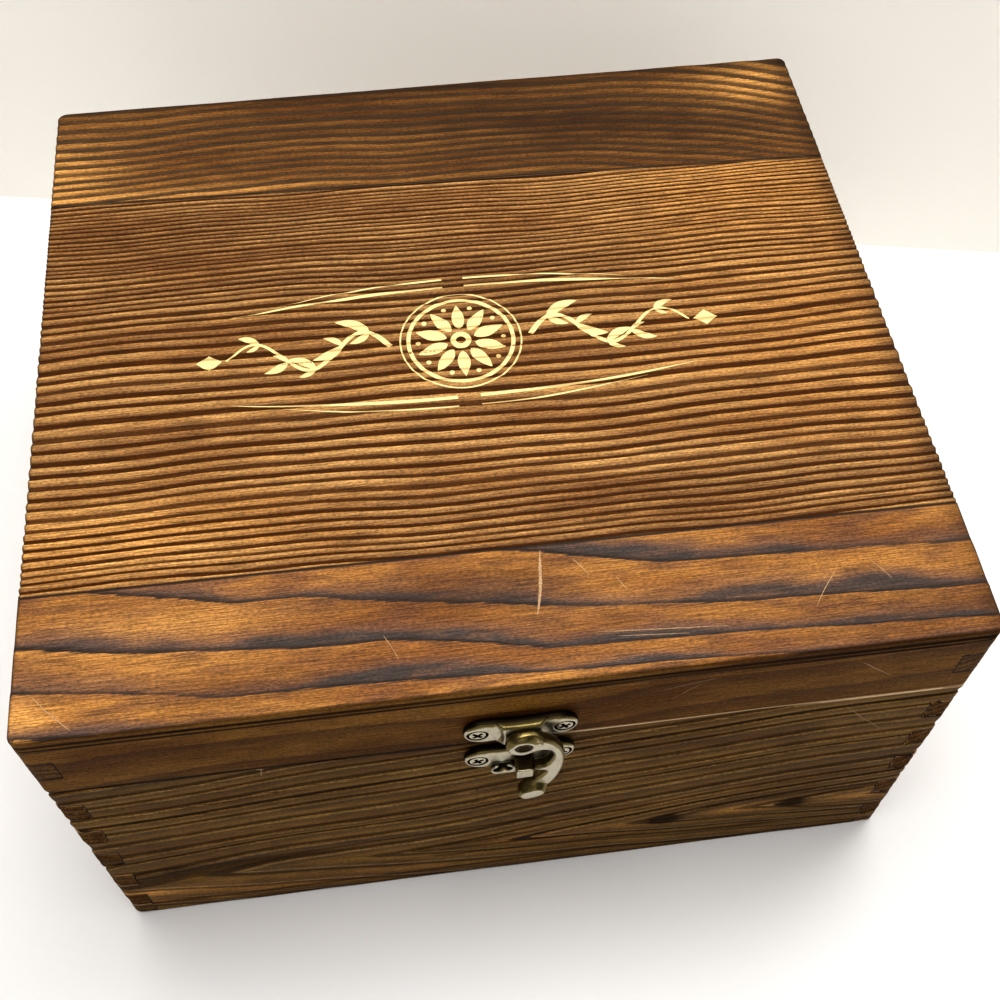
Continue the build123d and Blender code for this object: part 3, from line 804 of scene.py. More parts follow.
def brushed_depth(rings, dark_from, share):
    """How deep the brushing has gone at a point, from the ring that it lies in."""
    lively = 0.55 + 0.45 * ring_chance(rings)
    height = ridge(rings, dark_from) if dark_from else ledge(rings)
    return SANDED + bpy.context.scene.pine_box_wood.ridge_depth / MM * share * (1 - height * lively)


def lid_level(x, y):
    """Height of the brushed lid in front of its back seam."""
    seam = FRONT_SEAM[0] + (FRONT_SEAM[1] - FRONT_SEAM[0]) * (x + HALF_WIDTH) / (2 * HALF_WIDTH)
    middle = brushed_depth(LID_MIDDLE_RINGS(x, y, 0 * x), MIDDLE_RIDGE, 1.0)
    front = brushed_depth(LID_FRONT_RINGS(x, y, 0 * x), FRONT_RIDGE, FRONT_DEPTH)
    return BOX_TOP - np.where(y > seam, middle, front)


def step_up(value, start, end):
    """A smooth step from 0 to 1 while value goes from start to end."""
    share = np.clip((value - start) / (end - start), 0, 1)
    return share * share * (3 - 2 * share)


def charred_side(z):
    """The torched side of the lid panel: a burnt line half way down and another along the glue line."""
    depth = BOX_TOP - z
    return 0.97 * np.exp(-((depth - 2.9) / 0.75) ** 4) + 0.92 * np.exp(-((depth - 4.8) / 0.55) ** 4)


def strip_timbers():
    """The three strips of the lid panel."""
    ridged = once(torched_pine, "torched_ridged_pine", 0.46, 0.60, 1.0, (0.96, 1.16, 1.30), 1.18, shade=0.6)
    broad = once(torched_pine, "torched_back_strip", 0.24, 0.62, 0.96, (0.52, 0.50, 0.36), 1.20, "smoked_ring")
    flat = once(torched_pine, "torched_flat_pine", 0.70, 0.90, 1.0, (0.82, 0.81, 0.60), 1.28, "burnt_ring", 0.40)

    def front_burn(x, y, z):
        return (0.35 * spot(x, y, (-8, -78), (30, 7)) + 0.25 * spot(x, y, (95, -98), (30, 8)) + 0.3 * spot(x, y, (-60, -99), (30, 5))
                + charred_side(z) + 0.35 * step_up(x, 108, 114) + 0.17 * spot(x, y, (85, -76), (60, 16)))

    def middle_burn(x, y, z):
        return (0.20 * spot(x, y, (-70, 48), (50, 12)) + 0.22 * spot(x, y, (10, 20), (70, 14)) + 0.2 * spot(x, y, (60, -58), (50, 8))
                + charred_side(z) + 0.45 * step_up(x, 107, 114))

    def back_burn(x, y, z):
        return (0.48 * spot(x, y, (42, 80), (48, 20)) + 0.3 * spot(x, y, (92, 72), (26, 11)) + 0.28 * spot(x, y, (-20, 92), (75, 22)) + charred_side(z)
                + 0.5 * step_up(y, 97, 104) + 0.45 * step_up(x, 107, 114))
    return [
        Timber("lid_top_strip_front", "lid", 0, 1, LID_FRONT_RINGS, flat, FRONT_RIDGE, FRONT_DEPTH, 0.4, 1.3, burn=front_burn,
               dense=lambda x, y, z: step_up(x, -40, -95),
               gold=lambda x, y, z: 0.7 * spot(x, y, (-113, -99), (8, 5)) + 0.35 * spot(x, y, (-78, -79), (26, 5))
               + 0.15 * spot(x, y, (60, -84), (30, 4)) + 0.16 * spot(x, y, (-90, -88), (34, 14))),
        Timber("lid_top_strip_middle", "lid", 0, 1, LID_MIDDLE_RINGS, ridged, MIDDLE_RIDGE, 1.0, 0.34, burn=middle_burn,
               dense=lambda x, y, z: step_up(y, 2, 26),
               gold=lambda x, y, z: 0.55 * spot(x, y, (-98, -54), (45, 10)) + 0.3 * spot(x, y, (80, 30), (40, 20))
               + 0.42 * spot(x, y, (90, 55), (40, 14)) + 0.3 * spot(x, y, (92, -12), (34, 26))),
        Timber("lid_top_strip_back", "lid", 0, 1, LID_BACK_RINGS, broad, 0.6, 0.45, 0.4, burn=back_burn,
               gold=lambda x, y, z: 1.0 * spot(x, y, (-120, 76), (21, 15)) + 0.8 * spot(x, y, (100, 94), (14, 10))
               + 0.8 * spot(x, y, (-85, 65), (45, 1.8))),
    ]


def lid_wall_pine():
    """The smooth, evenly torched pine of the lid's sides."""
    return once(torched_pine, "torched_lid_wall", 0.45, 0.95, 0.5, (0.50, 0.53, 0.34), 1.12)


# Dark flames low on the tray's front: tip along and up, length towards the heart, height and strength
FRONT_FLAMES = ((38.5, 24.4, 15, 6.8, 0.95), (77.5, 25.7, 13, 5.8, 0.93), (-31, 24.2, 11, 3.0, 0.55))
# Dark lines round the flames and along the foot, each through a few places
FRONT_LINES = (
    ((44, 25.8), (52, 27.5), (58, 30.3), (66, 32.0), (84, 33.5), (115, 34)), ((40, 24), (50, 22), (67, 20.6), (86, 16.6), (115, 11.5)),
    ((79, 26.4), (91, 29.6), (103, 32.2), (115, 34)), ((79, 23.8), (89, 20.2), (100, 18), (115, 15)),
    ((-25, 25.4), (0, 28.4), (20, 30)), ((-25, 23.2), (0, 22.4), (30, 21)), ((-45, 36.9), (-20, 38), (15, 38.8)),
    ((-25, 18.2), (33, 15.5), (58, 11.8), (82, 10.4), (115, 7.6)), ((-115, 8), (-77, 6.6), (0, 6.6), (33, 7), (53, 3.6), (115, 1.2)),
)


def front_flames(x, y, z):
    burn = 0.7 * step_up(z, 3.0, 0.9) * step_up(x, -100, -60)
    for line in FRONT_LINES:
        seen = step_up(x, line[0][0] - 2, line[0][0] + 6) * step_up(x, line[-1][0] + 4, line[-1][0] - 12)
        level = np.interp(x, [place[0] for place in line], [place[1] for place in line])
        burn = np.maximum(burn, 0.76 * seen * np.exp(-((z - level) / 0.62) ** 2))
    for tip, level, length, height, strength in FRONT_FLAMES:
        share = np.clip((x - tip) / length, 0, 1)
        half = 0.5 * height * np.sin(math.pi * np.clip(share, 0, 0.72)) ** 0.8
        inside = step_up(half - np.abs(z - level - 0.05 * (x - tip)), -0.9, 0.7) * step_up(share, 0.01, 0.08)
        burn = np.maximum(burn, strength * inside * (1 - step_up(share, 0.55, 1.0)))
    share = np.clip((-36 - x) / 66, 0, 1.25)
    smoke = step_up(6.2 * share ** 1.3 - np.abs(z - 37.2 - 0.115 * (x + 36)), -1.0, 1.0) * step_up(share, 0, 0.1)
    return np.maximum(burn, 0.55 * smoke)


def front_glow(x, y, z):
    """Golden wood inside the flames' lines and along the foot of the tray's front."""
    return (0.75 * spot(x, z, (-105, 17), (24, 4.2)) + 0.35 * spot(x, z, (-60, 10), (60, 5)) + 0.3 * spot(x, z, (15, 24), (24, 4))
            + 0.42 * spot(x, z, (67, 26), (12, 3.5)) + 0.4 * spot(x, z, (104, 25), (12, 4.5)))


def board_timbers(body):
    """The four boards of the tray or of the lid's frame."""
    dark = once(torched_pine, "torched_wall_pine", 0.36, 0.85, 0.60, (0.57, 0.69, 0.52), 1.12, "smoked_ring", groove=0.36)
    smooth = lid_wall_pine()
    material = dark if body == "base" else smooth
    if body == "base":
        draws = {"front": (25.0, 16.5, 0.105, 4.3, 41, 0.8, (4.2, 8.3, 12.4, 16.1, 19.8, 23.8)),
                 "back": (70.0, 22.0, -0.06, 3.6, 43)}
        leans = {"left": (45, 0.15), "right": (47, 0.65)}
    else:
        draws = {"front": (86, 14, 0.03, 7.5, 61), "back": (140, 30, 0.05, 4.5, 63)}
        leans = {"left": (65, 0.1), "right": (67, 0.6)}
    made = []
    for side in ("front", "back", "left", "right"):
        along = 0 if side in draws else 1
        heart = draws[side][0] if side in draws else 0
        rings = hearted_rings(*draws[side]) if side in draws else sawn_rings(*leans[side])

        def share(z, heart=heart):
            """Below the heart the ledges look down, so they are brushed less there."""
            return 0.25 if body == "lid" else 0.4 + 0.75 * step_up(z, heart - 4, heart + 8)
        front = (body, side) == ("base", "front")
        made.append(Timber(f"{body}_{side}_board", body, along, 2, rings, material, 0.6 if body == "lid" else None, share, 0.4,
                           1.4 if front else ALONG_STEP, burn=front_flames if front else None, gold=front_glow if front else None))
    return made


class BuildBoards(bpy.types.Operator):
    """Build the four boards of the tray and the four of the lid's frame"""
    bl_idname = "pine_box.boards"
    bl_label = "Boards"

    def execute(self, context):
        for body in ("base", "lid"):
            levels = finger_levels("base_front_board" if body == "base" else "lid_front_board")
            for timber in board_timbers(body):
                along_x = timber.along == 0
                edges, filled = board_blocks(timber, levels, sockets_first=along_x == (body == "base"))
                build_timber(timber, edges, filled)
        return {"FINISHED"}


class BuildLidPanel(bpy.types.Operator):
    """Build the three glued strips of the lid panel"""
    bl_idname = "pine_box.lid_panel"
    bl_label = "Lid panel"

    def execute(self, context):
        ends = {"front": ((-HALF_DEPTH,) * 2, FRONT_SEAM), "middle": (FRONT_SEAM, BACK_SEAM), "back": (BACK_SEAM, (HALF_DEPTH,) * 2)}
        for timber in strip_timbers():
            front, back = ends[timber.node.rsplit("_", 1)[1]]
            edge = (sum(front) / 2, sum(back) / 2)
            edges = [[-HALF_WIDTH, -HALF_WIDTH + BOARD, HALF_WIDTH - BOARD, HALF_WIDTH], list(edge), [FRAME_TOP, BOX_TOP]]
            edges[1] = sorted(set(edges[1]) | {s * (HALF_DEPTH - BOARD) for s in (-1, 1) if edge[0] < s * (HALF_DEPTH - BOARD) < edge[1]})
            filled = np.ones([len(marks) - 1 for marks in edges], bool)

            def skew(points, front=front, back=back, edge=edge):
                """Slant the strip's long edges as the seams run."""
                share = (points[:, 0] + HALF_WIDTH) / (2 * HALF_WIDTH)
                low, high = (side[0] + (side[1] - side[0]) * share for side in (front, back))
                part = (points[:, 1] - edge[0]) / (edge[1] - edge[0])
                fixed = np.abs(np.abs(points[:, 1]) - HALF_DEPTH) < EDGE_STEPS[-1] + 0.01
                slanted = low + (high - low) * part
                return np.stack([points[:, 0], np.where(fixed, points[:, 1], slanted), points[:, 2]], 1)
            build_timber(timber, edges, filled, skew)
        return {"FINISHED"}


class BuildBottom(bpy.types.Operator):
    """Build the plywood-thin bottom panel in its rebate"""
    bl_idname = "pine_box.bottom"
    bl_label = "Bottom panel"

    def execute(self, context):
        x = np.linspace(-PANEL_HALF_WIDTH, PANEL_HALF_WIDTH, 58)
        y = np.linspace(-PANEL_HALF_DEPTH, PANEL_HALF_DEPTH, 54)
        edges = [[x[0], x[-1]], [y[0], y[-1]], [0.0, PANEL_FLOOR]]
        lines = [x, y, np.array([0.0, PANEL_FLOOR])]
        faces, finishes = block_faces(lines, edges, np.ones((1, 1, 1), bool), lambda *_: "face")
        sizes = [len(line) for line in lines]
        numbers = np.arange(sizes[0] * sizes[1] * sizes[2])
        grid = np.stack([numbers // (sizes[1] * sizes[2]), numbers // sizes[2] % sizes[1], numbers % sizes[2]], 1)
        points = np.stack([lines[axis][grid[:, axis]] for axis in range(3)], 1)
        piece = add_object("bottom_panel_timber", points, faces)
        rings = hearted_rings(12.0, 8.0, 0.03, 5.5, 71)(points[:, 0], points[:, 1], PANEL_FLOOR - points[:, 2])
        add_attribute(piece.data, "ring", rings)
        add_attribute(piece.data, "grain", points)
        piece.data.materials.append(once(bare_pine, "bare_pine"))
        piece.data.set_sharp_from_angle(angle=math.radians(CREASE_ANGLE))
        fit_piece(piece, "base", "torched_pine", "bottom_panel")
        return {"FINISHED"}


# Ribbons: flat shapes that follow the brushed lid
class Ribbons:
    """Gathers ribbons of changing width into one mesh that lies on the lid."""

    def __init__(self):
        self.points, self.faces = [], []

    def add(self, path, widths, closed=False):
        path, widths = np.asarray(path, float), np.asarray(widths, float)
        ahead = np.gradient(path, axis=0)
        if closed:
            ahead = np.roll(path, -1, axis=0) - np.roll(path, 1, axis=0)
        ahead /= np.maximum(np.linalg.norm(ahead, axis=1), 1e-9)[:, None]
        side = np.stack([-ahead[:, 1], ahead[:, 0]], 1)
        rows = max(2, int(math.ceil(widths.max() / 0.3)) + 1)
        start = sum(len(p) for p in self.points)
        offsets = np.linspace(-0.5, 0.5, rows)
        grid = path[:, None] + side[:, None] * (widths[:, None] * offsets)[:, :, None]
        self.points.append(grid.reshape(-1, 2))
        count = len(path)
        for i in range(count if closed else count - 1):
            j = (i + 1) % count
            for r in range(rows - 1):
                self.faces.append([start + i * rows + r + 1, start + i * rows + r, start + j * rows + r, start + j * rows + r + 1])

    def finish(self, name, lift, board=None):
        """Lay the ribbons on the lid's top, or on a front board."""
        flat = np.concatenate(self.points)
        x, other = flat.T
        if board:
            placed = np.column_stack([x, board.carved(board.rings(x, other, 0 * x), other) - HALF_DEPTH - lift, other])
        else:
            placed = np.column_stack([flat, lid_level(x, other) + lift])
        piece = add_object(name, placed, self.faces)
        piece.data.flip_normals()
        rings = LID_MIDDLE_RINGS(flat[:, 0], flat[:, 1], 0 * flat[:, 0])
        add_attribute(piece.data, "ring", rings)
        add_attribute(piece.data, "grain", np.column_stack([flat, 0 * flat[:, 0]]))
        return piece


ORNAMENT_CENTRE = (-2.0, -1.0)
ORNAMENT_LIFT = 0.05


def circle_path(centre, radius, count):
    turn = np.arange(count) * 2 * math.pi / count
    return np.stack([centre[0] + radius * np.cos(turn), centre[1] + radius * np.sin(turn)], 1)


def leaf(ribbons, start, angle, length, width, curl=0.0):
    """A pointed leaf that leaves start at an angle and bends by curl."""
    share = np.linspace(0, 1, max(8, int(length / 0.45)))
    heading = angle + curl * share
    steps = np.stack([np.cos(heading), np.sin(heading)], 1) * length / (len(share) - 1)
    path = np.asarray(start) + np.cumsum(steps, axis=0) - steps[0]
    ribbons.add(path, width * np.sin(math.pi * share ** 0.8) ** 0.9 + 0.02)


class BuildOrnament(bpy.types.Operator):
    """Engrave a rosette with leafy scrolls into the middle of the lid"""
    bl_idname = "pine_box.ornament"
    bl_label = "Lid ornament"

    def execute(self, context):
        ribbons = Ribbons()
        cx, cy = ORNAMENT_CENTRE
        for radius, width in ((2.1, 1.5), (14.2, 1.1), (16.4, 0.45)):
            ribbons.add(circle_path((cx, cy), radius, int(14 * radius)), np.full(int(14 * radius), width), True)
        petals = 10
        for i in range(petals):
            angle = 2 * math.pi * (i + 0.5) / petals
            start = (cx + 3.9 * math.cos(angle), cy + 3.9 * math.sin(angle))
            leaf(ribbons, start, angle, 8.6, 3.4)
            between = angle + math.pi / petals
            dot = (cx + 11.6 * math.cos(between), cy + 11.6 * math.sin(between))
            ribbons.add(circle_path(dot, 0.35, 12), np.full(12, 0.7), True)
        for side in (-1, 1):
            self.add_scroll(ribbons, side)
        piece = ribbons.finish("lid_ornament", ORNAMENT_LIFT)
        piece.data.materials.append(once(engraved_pine))
        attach(piece, "lid")
        return {"FINISHED"}

    def add_scroll(self, ribbons, side):
        """One running scroll with leaves, which ends in a lozenge, and the fine lines over and under it."""
        cx, cy = ORNAMENT_CENTRE
        share = np.linspace(0, 1, 130)
        x = 19.0 + 44.0 * share
        y = 6.2 * np.sin(2 * math.pi * 1.5 * share) * (1 - 0.25 * share)
        ribbons.add(np.stack([cx + side * x, cy + y], 1), 1.5 - 0.9 * share)
        for i, place in enumerate((0.13, 0.30, 0.47, 0.63, 0.80)):
            k = int(place * (len(share) - 1))
            up = 1 if i % 2 == 0 else -1
            start = (cx + side * x[k], cy + y[k])
            angle = up * 0.95 if side > 0 else math.pi - up * 0.95
            leaf(ribbons, start, angle, 10.5 - 1.0 * i, 3.0 - 0.25 * i, -side * up * 0.9)
            leaf(ribbons, start, -angle if side > 0 else -angle, 6.5 - 0.6 * i, 2.0 - 0.2 * i, side * up * 0.8)
        tip = np.linspace(-3.4, 3.4, 17)
        ribbons.add(np.stack([cx + side * (67.5 + tip), cy + 0 * tip], 1), 5.2 * (1 - np.abs(tip) / 3.4) + 0.05)
        for level, reach, width in ((19.5, 62.0, 0.9), (22.5, 48.0, 0.45)):
            line = np.linspace(0, 1, 120)
            for up in (-1, 1):
                path = np.stack([cx + side * (3.0 + (reach - 3.0) * line), cy + up * (level - 4.5 * line ** 2)], 1)
                ribbons.add(path, width * (1 - line ** 3) + 0.05)


# Latch: solids described by how far a point is from their surface, negative inside
LATCH_CELL = 0.14
SCREW_CELL = 0.09
WING_X, WING_RADIUS, WING_FRONT = 9.0, 4.9, 2.2
WAIST = 0.45
PLATE_BEVEL = 1.0
BOSS_HALF, BOSS_SPREAD, BOSS_FRONT = 4.1, 1.9, 3.7
SCREW_HEAD, SCREW_SHANK, SCREW_RECESS, SCREW_GRIP = 2.05, 1.2, 2.6, 5.5
HOOK_BACK, HOOK_FRONT, HOOK_ROUND = 3.9, 6.9, 0.95
POST_LEFT, POST_RIGHT, POST_LOW, POST_HIGH = -1.5, 2.8, -2.5, 1.8
SILL_HALF, SILL_LOW, SILL_HIGH, SILL_FRONT = 7.3, -6.0, -2.0, 3.6
HOOK_OUTLINE = (
    (0, 4.3), (3.6, 3.8), (6.8, 1.3), (9.2, -2.9), (10.25, -8), (10, -15), (8.3, -22), (5.2, -27.2), (2, -29), (-0.3, -28.2),
    (-0.9, -25.4), (1.2, -22.6), (3.4, -20.9), (5.2, -18), (5.6, -15.6), (3.3, -14.3), (3.2, -13.4), (5.7, -12.2), (7, -9),
    (7.2, -6), (6.2, -3.2), (3.6, -2.6), (0, -4.3), (-3.0, -3.0), (-4.3, 0), (-3.0, 3.0))


def disc(x, z, centre, radius):
    return np.hypot(x - centre[0], z - centre[1]) - radius


def rectangle(x, z, low, high, corner=0.0):
    over_x = np.maximum(low[0] - x, x - high[0]) + corner
    over_z = np.maximum(low[1] - z, z - high[1]) + corner
    return np.hypot(np.maximum(over_x, 0), np.maximum(over_z, 0)) + np.minimum(np.maximum(over_x, over_z), 0) - corner


def blend(first, second, soft):
    """Both shapes together, with a fillet of about the size soft where they meet."""
    share = np.clip(0.5 + 0.5 * (second - first) / soft, 0, 1)
    return second + (first - second) * share - soft * share * (1 - share)


def carve(first, second, soft):
    """The first shape without the second, with edges eased by soft."""
    return -blend(-first, second, soft)


def slab(flat, t, low, high, ease):
    """A flat outline given thickness from low to high, with eased edges."""
    over_flat, over_t = flat + ease, np.maximum(low - t, t - high) + ease
    return np.hypot(np.maximum(over_flat, 0), np.maximum(over_t, 0)) + np.minimum(np.maximum(over_flat, over_t), 0) - ease


def smooth_outline(points, pieces=8):
    """A closed curve through the points."""
    points = np.array(points, float)
    share = np.arange(pieces)[:, None] / pieces
    before, start, end, after = (np.roll(points, shift, axis=0) for shift in (1, 0, -1, -2))
    curve = [0.5 * (2 * b + (c - a) * share + (2 * a - 5 * b + 4 * c - d) * share ** 2 + (3 * b - a - 3 * c + d) * share ** 3)
             for a, b, c, d in zip(before, start, end, after)]
    return np.concatenate(curve)


def inside_outline(x, z, outline):
    """Distance from a closed outline, negative inside it."""
    nearest, crossed = np.inf, False
    for (x0, z0), (x1, z1) in zip(outline, np.roll(outline, -1, axis=0)):
        run_x, run_z = x1 - x0, z1 - z0
        share = np.clip(((x - x0) * run_x + (z - z0) * run_z) / (run_x ** 2 + run_z ** 2), 0, 1)
        nearest = np.minimum(nearest, (x - x0 - share * run_x) ** 2 + (z - z0 - share * run_z) ** 2)
        if z0 != z1:
            crossed = crossed ^ (((z0 > z) != (z1 > z)) & (x < run_x * (z - z0) / run_z + x0))
    return np.sqrt(nearest) * np.where(crossed, -1, 1)


def surface_of(field, low, high, cell):
    """Points and four-sided faces of the surface where field is zero, with one point in each cell that it crosses."""
    axes = [np.arange(a, b + cell, cell) for a, b in zip(low, high)]
    value = field(*np.meshgrid(*axes, indexing="ij", sparse=True))
    shape = tuple(n - 1 for n in value.shape)
    place, count, crossings = np.zeros((3,) + shape), np.zeros(shape), []
    for axis in range(3):
        turned = np.moveaxis(value, axis, 0)
        start, end = turned[:-1], turned[1:]
        cut = (start < 0) != (end < 0)
        where = np.where(cut, start / np.where(cut, start - end, 1), 0)
        crossings.append((cut, start < 0))
        first, second = [a for a in range(3) if a != axis]
        for a in (0, 1):
            for b in (0, 1):
                window = (slice(None), slice(a, a + shape[first]), slice(b, b + shape[second]))
                here = np.moveaxis(cut[window], 0, axis)
                count += here
                place[axis] += np.moveaxis(where[window], 0, axis)
                place[first] += a * here
                place[second] += b * here
    used = count > 0
    index = np.full(shape, -1)
    index[used] = np.arange(used.sum())
    points = np.array(low)[:, None] + cell * (np.array(np.nonzero(used)) + place[:, used] / count[used])
    quads = []
    for axis, (cut, inside) in enumerate(crossings):
        ids = np.moveaxis(index, axis, 0)
        keep = cut[:, 1:-1, 1:-1]
        ring = np.stack([ids[:, :-1, :-1], ids[:, 1:, :-1], ids[:, 1:, 1:], ids[:, :-1, 1:]], -1)[keep]
        flip = ~inside[:, 1:-1, 1:-1][keep] ^ (axis == 1)
        ring[flip] = ring[flip][:, ::-1]
        quads.append(ring)
    return points.T, np.concatenate(quads)


def smoothed(values, faces, rounds):
    """Each point's values moved half way to the mean of its neighbours', a few times over."""
    ends = np.concatenate([faces[:, [a, (a + 1) % 4]] for a in range(4)])
    number = len(values)
    for _ in range(rounds):
        total, count = np.zeros_like(values), np.zeros(number)
        for here, there in (ends.T, ends.T[::-1]):
            for column in range(values.shape[1]):
                total[:, column] += np.bincount(here, values[there, column], number)
            count += np.bincount(here, minlength=number)
        values = 0.5 * values + 0.5 * total / count[:, None]
    return values


def cast_piece(name, body, slot, node, field, low, high, material, cell=LATCH_CELL, rubbed=1.0):
    """A metal piece from its field in (x, distance in front of the wood, z), with its wear stored, and its hollows
    stored together with painted shade on its sides near the wood.
    """
    points, faces = surface_of(field, low, high, cell)
    points = smoothed(points, faces, 3)
    reach = 0.5
    gradient = np.stack([field(*(points + step).T) - field(*(points - step).T) for step in np.eye(3) * 0.05], 1)
    normals = gradient / np.maximum(np.linalg.norm(gradient, axis=1), 1e-9)[:, None]
    edge = 1 + field(*(points - reach * normals).T) / reach
    hollow = 1 - field(*(points + 1.6 * reach * normals).T) / (1.6 * reach)
    forward = np.clip((normals[:, 1] - 0.86) / 0.12, 0, 1)
    # Painted shade: sides that don't face forward are darkened near the wood, and stored with the hollows' patina
    shaded = np.clip(1.35 - points[:, 1] / 3.0, 0, 1) * np.clip((0.75 - normals[:, 1]) / 0.4, 0, 1)
    wear = rubbed * np.clip(0.75 * forward + 2.6 * np.clip(edge, 0, 0.4) - 0.8 * np.clip(hollow, 0, 1), 0, 1.4)
    dark = np.clip(np.clip(hollow, 0, 1) * 1.7 + 0.85 * shaded, 0, 1.4)
    wear, dark = smoothed(np.stack([wear, dark], 1), faces, 3).T
    piece = add_object(name, np.stack([points[:, 0], -HALF_DEPTH - points[:, 1], points[:, 2]], 1), faces[:, ::-1].tolist())
    add_attribute(piece.data, "wear", wear)
    add_attribute(piece.data, "hollow", dark)
    piece.data.materials.append(material)
    fit_piece(piece, body, slot, node)
    return piece


def plate_field(height, x, t, z, boss=0.0):
    """A cast latch plate: two round wings and a waisted neck with a bevelled front, and maybe a raised middle."""
    radius = WING_RADIUS - WAIST * np.exp(-(x / 5) ** 2)
    outline = np.hypot(np.maximum(np.abs(x) - WING_X, 0), z - height) - radius
    spread = 0.8 + BOSS_SPREAD * np.clip(np.abs(z - height) / WING_RADIUS, 0, 1.1) ** 2
    rise = np.clip((BOSS_HALF + spread - np.abs(x)) / spread, 0, 1)
    front = WING_FRONT + boss * rise * rise * (3 - 2 * rise)
    body = slab(outline, t * WING_FRONT / front, 0, WING_FRONT, 0.6)
    bevel = ((outline + PLATE_BEVEL) * 0.6 + (t - front) * PLATE_BEVEL) / math.hypot(0.6, PLATE_BEVEL)
    body = -blend(-body, -bevel, 0.55)
    recess = slab(disc(np.abs(x), z, (SCREW_X, height), SCREW_RECESS), t, WING_FRONT - 1.0, 9, 0.05)
    return carve(body, recess, 0.15)


def latch_plate_field(x, t, z):
    return carve(plate_field(UPPER_PLATE_Z, x, t, z, BOSS_FRONT - WING_FRONT), disc(x, z, (0, PIVOT_Z), 1.55), 0.05)


def keeper_field(x, t, z):
    height = LOWER_PLATE_Z
    sill = slab(rectangle(x, z, (-SILL_HALF, height + SILL_LOW), (SILL_HALF, height + SILL_HIGH), 1.5), t, 0, SILL_FRONT, 0.3)
    pocket = np.sqrt(((np.abs(x - 0.2) - 4.6) / 2.5) ** 2 + ((t - SILL_FRONT - 0.2) / 2.9) ** 2 + ((z - height + 3.5) / 1.55) ** 2) - 1
    post = slab(rectangle(x, z, (POST_LEFT, height + POST_LOW), (POST_RIGHT, height + POST_HIGH), 0.45), t, 0, HOOK_FRONT - 0.1, 0.3)
    body = carve(blend(plate_field(height, x, t, z), sill, 0.5), pocket * 1.4, 0.15)
    return blend(body, post, 0.5)


def hook_flat(x, z):
    return inside_outline(x, z - PIVOT_Z, smooth_outline(HOOK_OUTLINE))


def hook_field(x, t, z):
    """The hook: a domed ring, an arm that sweeps round the post, and a foot bent forward for the finger."""
    along = np.clip(((x - 0.9) * 2.6 + (z - PIVOT_Z + 26.3) * 0.9) / (2.6 ** 2 + 0.9 ** 2), 0, 1)
    bent = np.clip((3.4 - np.hypot(x - 0.9 - 2.6 * along, z - PIVOT_Z + 26.3 - 0.9 * along)) / 1.5, 0, 1)
    bent = bent * bent * (3 - 2 * bent)
    front = HOOK_FRONT + (FOOT_FRONT - HOOK_FRONT) * bent
    back = HOOK_BACK + 1.1 * bent
    out = np.hypot(x, z - PIVOT_Z)
    dome = 1.5 * np.clip((out - 2.3) / 2.0, 0, 1) ** 2 * np.clip((z - PIVOT_Z - 0.2) / 1.6, 0, 1) * np.clip((4.6 - x) / 2.0, 0, 1)
    body = slab(hook_flat(x, z), t + dome * np.clip((t - back) / (front - back), 0, 1), back, front, HOOK_ROUND)
    seat = slab(disc(x, z, (0, PIVOT_Z), 2.2), t, HOOK_FRONT - 1.0, 20, 0.02)
    return carve(carve(body, seat, 0.2), disc(x, z, (0, PIVOT_Z), 1.55), 0.05)


def rivet_field(x, t, z):
    """A hollow rivet with a dished head that fills the hook's seat."""
    round_out = np.hypot(x, z - PIVOT_Z)
    head = slab(round_out - 2.12, t, HOOK_FRONT - 0.98, HOOK_FRONT - 0.02, 0.12)
    dish = (np.hypot(round_out, (t - HOOK_FRONT - 1.15)) - 2.15)
    shank = slab(round_out - 1.5, t, 0, HOOK_FRONT - 0.9, 0.05)
    flange = slab(round_out - 2.3, t, 0, 0.8, 0.1)
    return np.minimum(np.minimum(carve(head, dish, 0.12), shank), flange)


def screw_field(height, turns, x, t, z):
    """Two cross-head screws: a low domed head in its recess and a pointed shank."""
    side = np.where(x < 0, -1.0, 1.0)
    u, w = x - side * SCREW_X, z - height
    turn = np.where(x < 0, turns[0], turns[1])
    along, across = u * np.cos(turn) + w * np.sin(turn), w * np.cos(turn) - u * np.sin(turn)
    out = np.hypot(u, w)
    crown = WING_FRONT - 0.035 * out * out
    head = np.maximum(slab(out - SCREW_HEAD, t, WING_FRONT - 0.95, WING_FRONT, 0.12), t - crown)
    depth = WING_FRONT - 0.85 + 0.35 * out
    slot = np.minimum(rectangle(along, across, (-1.45, -0.38), (1.45, 0.38), 0.1), rectangle(along, across, (-0.38, -1.45), (0.38, 1.45), 0.1))
    cross = np.maximum(slot, depth - t)
    shank = np.maximum(out - np.minimum(SCREW_SHANK, (t + SCREW_GRIP) * 1.2), np.maximum(-SCREW_GRIP - t, t - WING_FRONT + 0.9))
    return np.minimum(carve(head, cross, 0.08), shank)


# Scratches of the front strip: two ends, the greatest width and how pale
SCRATCHES = (
    ((9.6, -69.6), (6.3, -87.3), 0.95), ((-110, -93.6), (-100.7, -103.2), 0.28), ((16.7, -72.9), (20.2, -78.1), 0.25),
    ((26.1, -78.9), (28.5, -83.3), 0.28), ((20, -93.4), (50, -95.6), 0.22), ((24, -95.0), (41, -96.4), 0.18),
    ((72, -93), (79, -84), 0.2), ((-30, -88), (-27, -95), 0.2), ((88, -82), (92, -88), 0.18),
)
LID_FRONT_SCRATCHES = (((81.6, 119.0), (90.9, 109.8), 0.30), ((34.1, 116.3), (46.6, 119.5), 0.22), ((37, 111), (43, 117), 0.16))
TRAY_FRONT_SCRATCHES = (((84.0, 92.6), (97.5, 75.5), 0.2), ((-64.4, 97.2), (-62.6, 96.4), 0.75), ((-63.2, 96.6), (-63.6, 93.4), 0.3))
SCRATCH_LIFT = 0.03


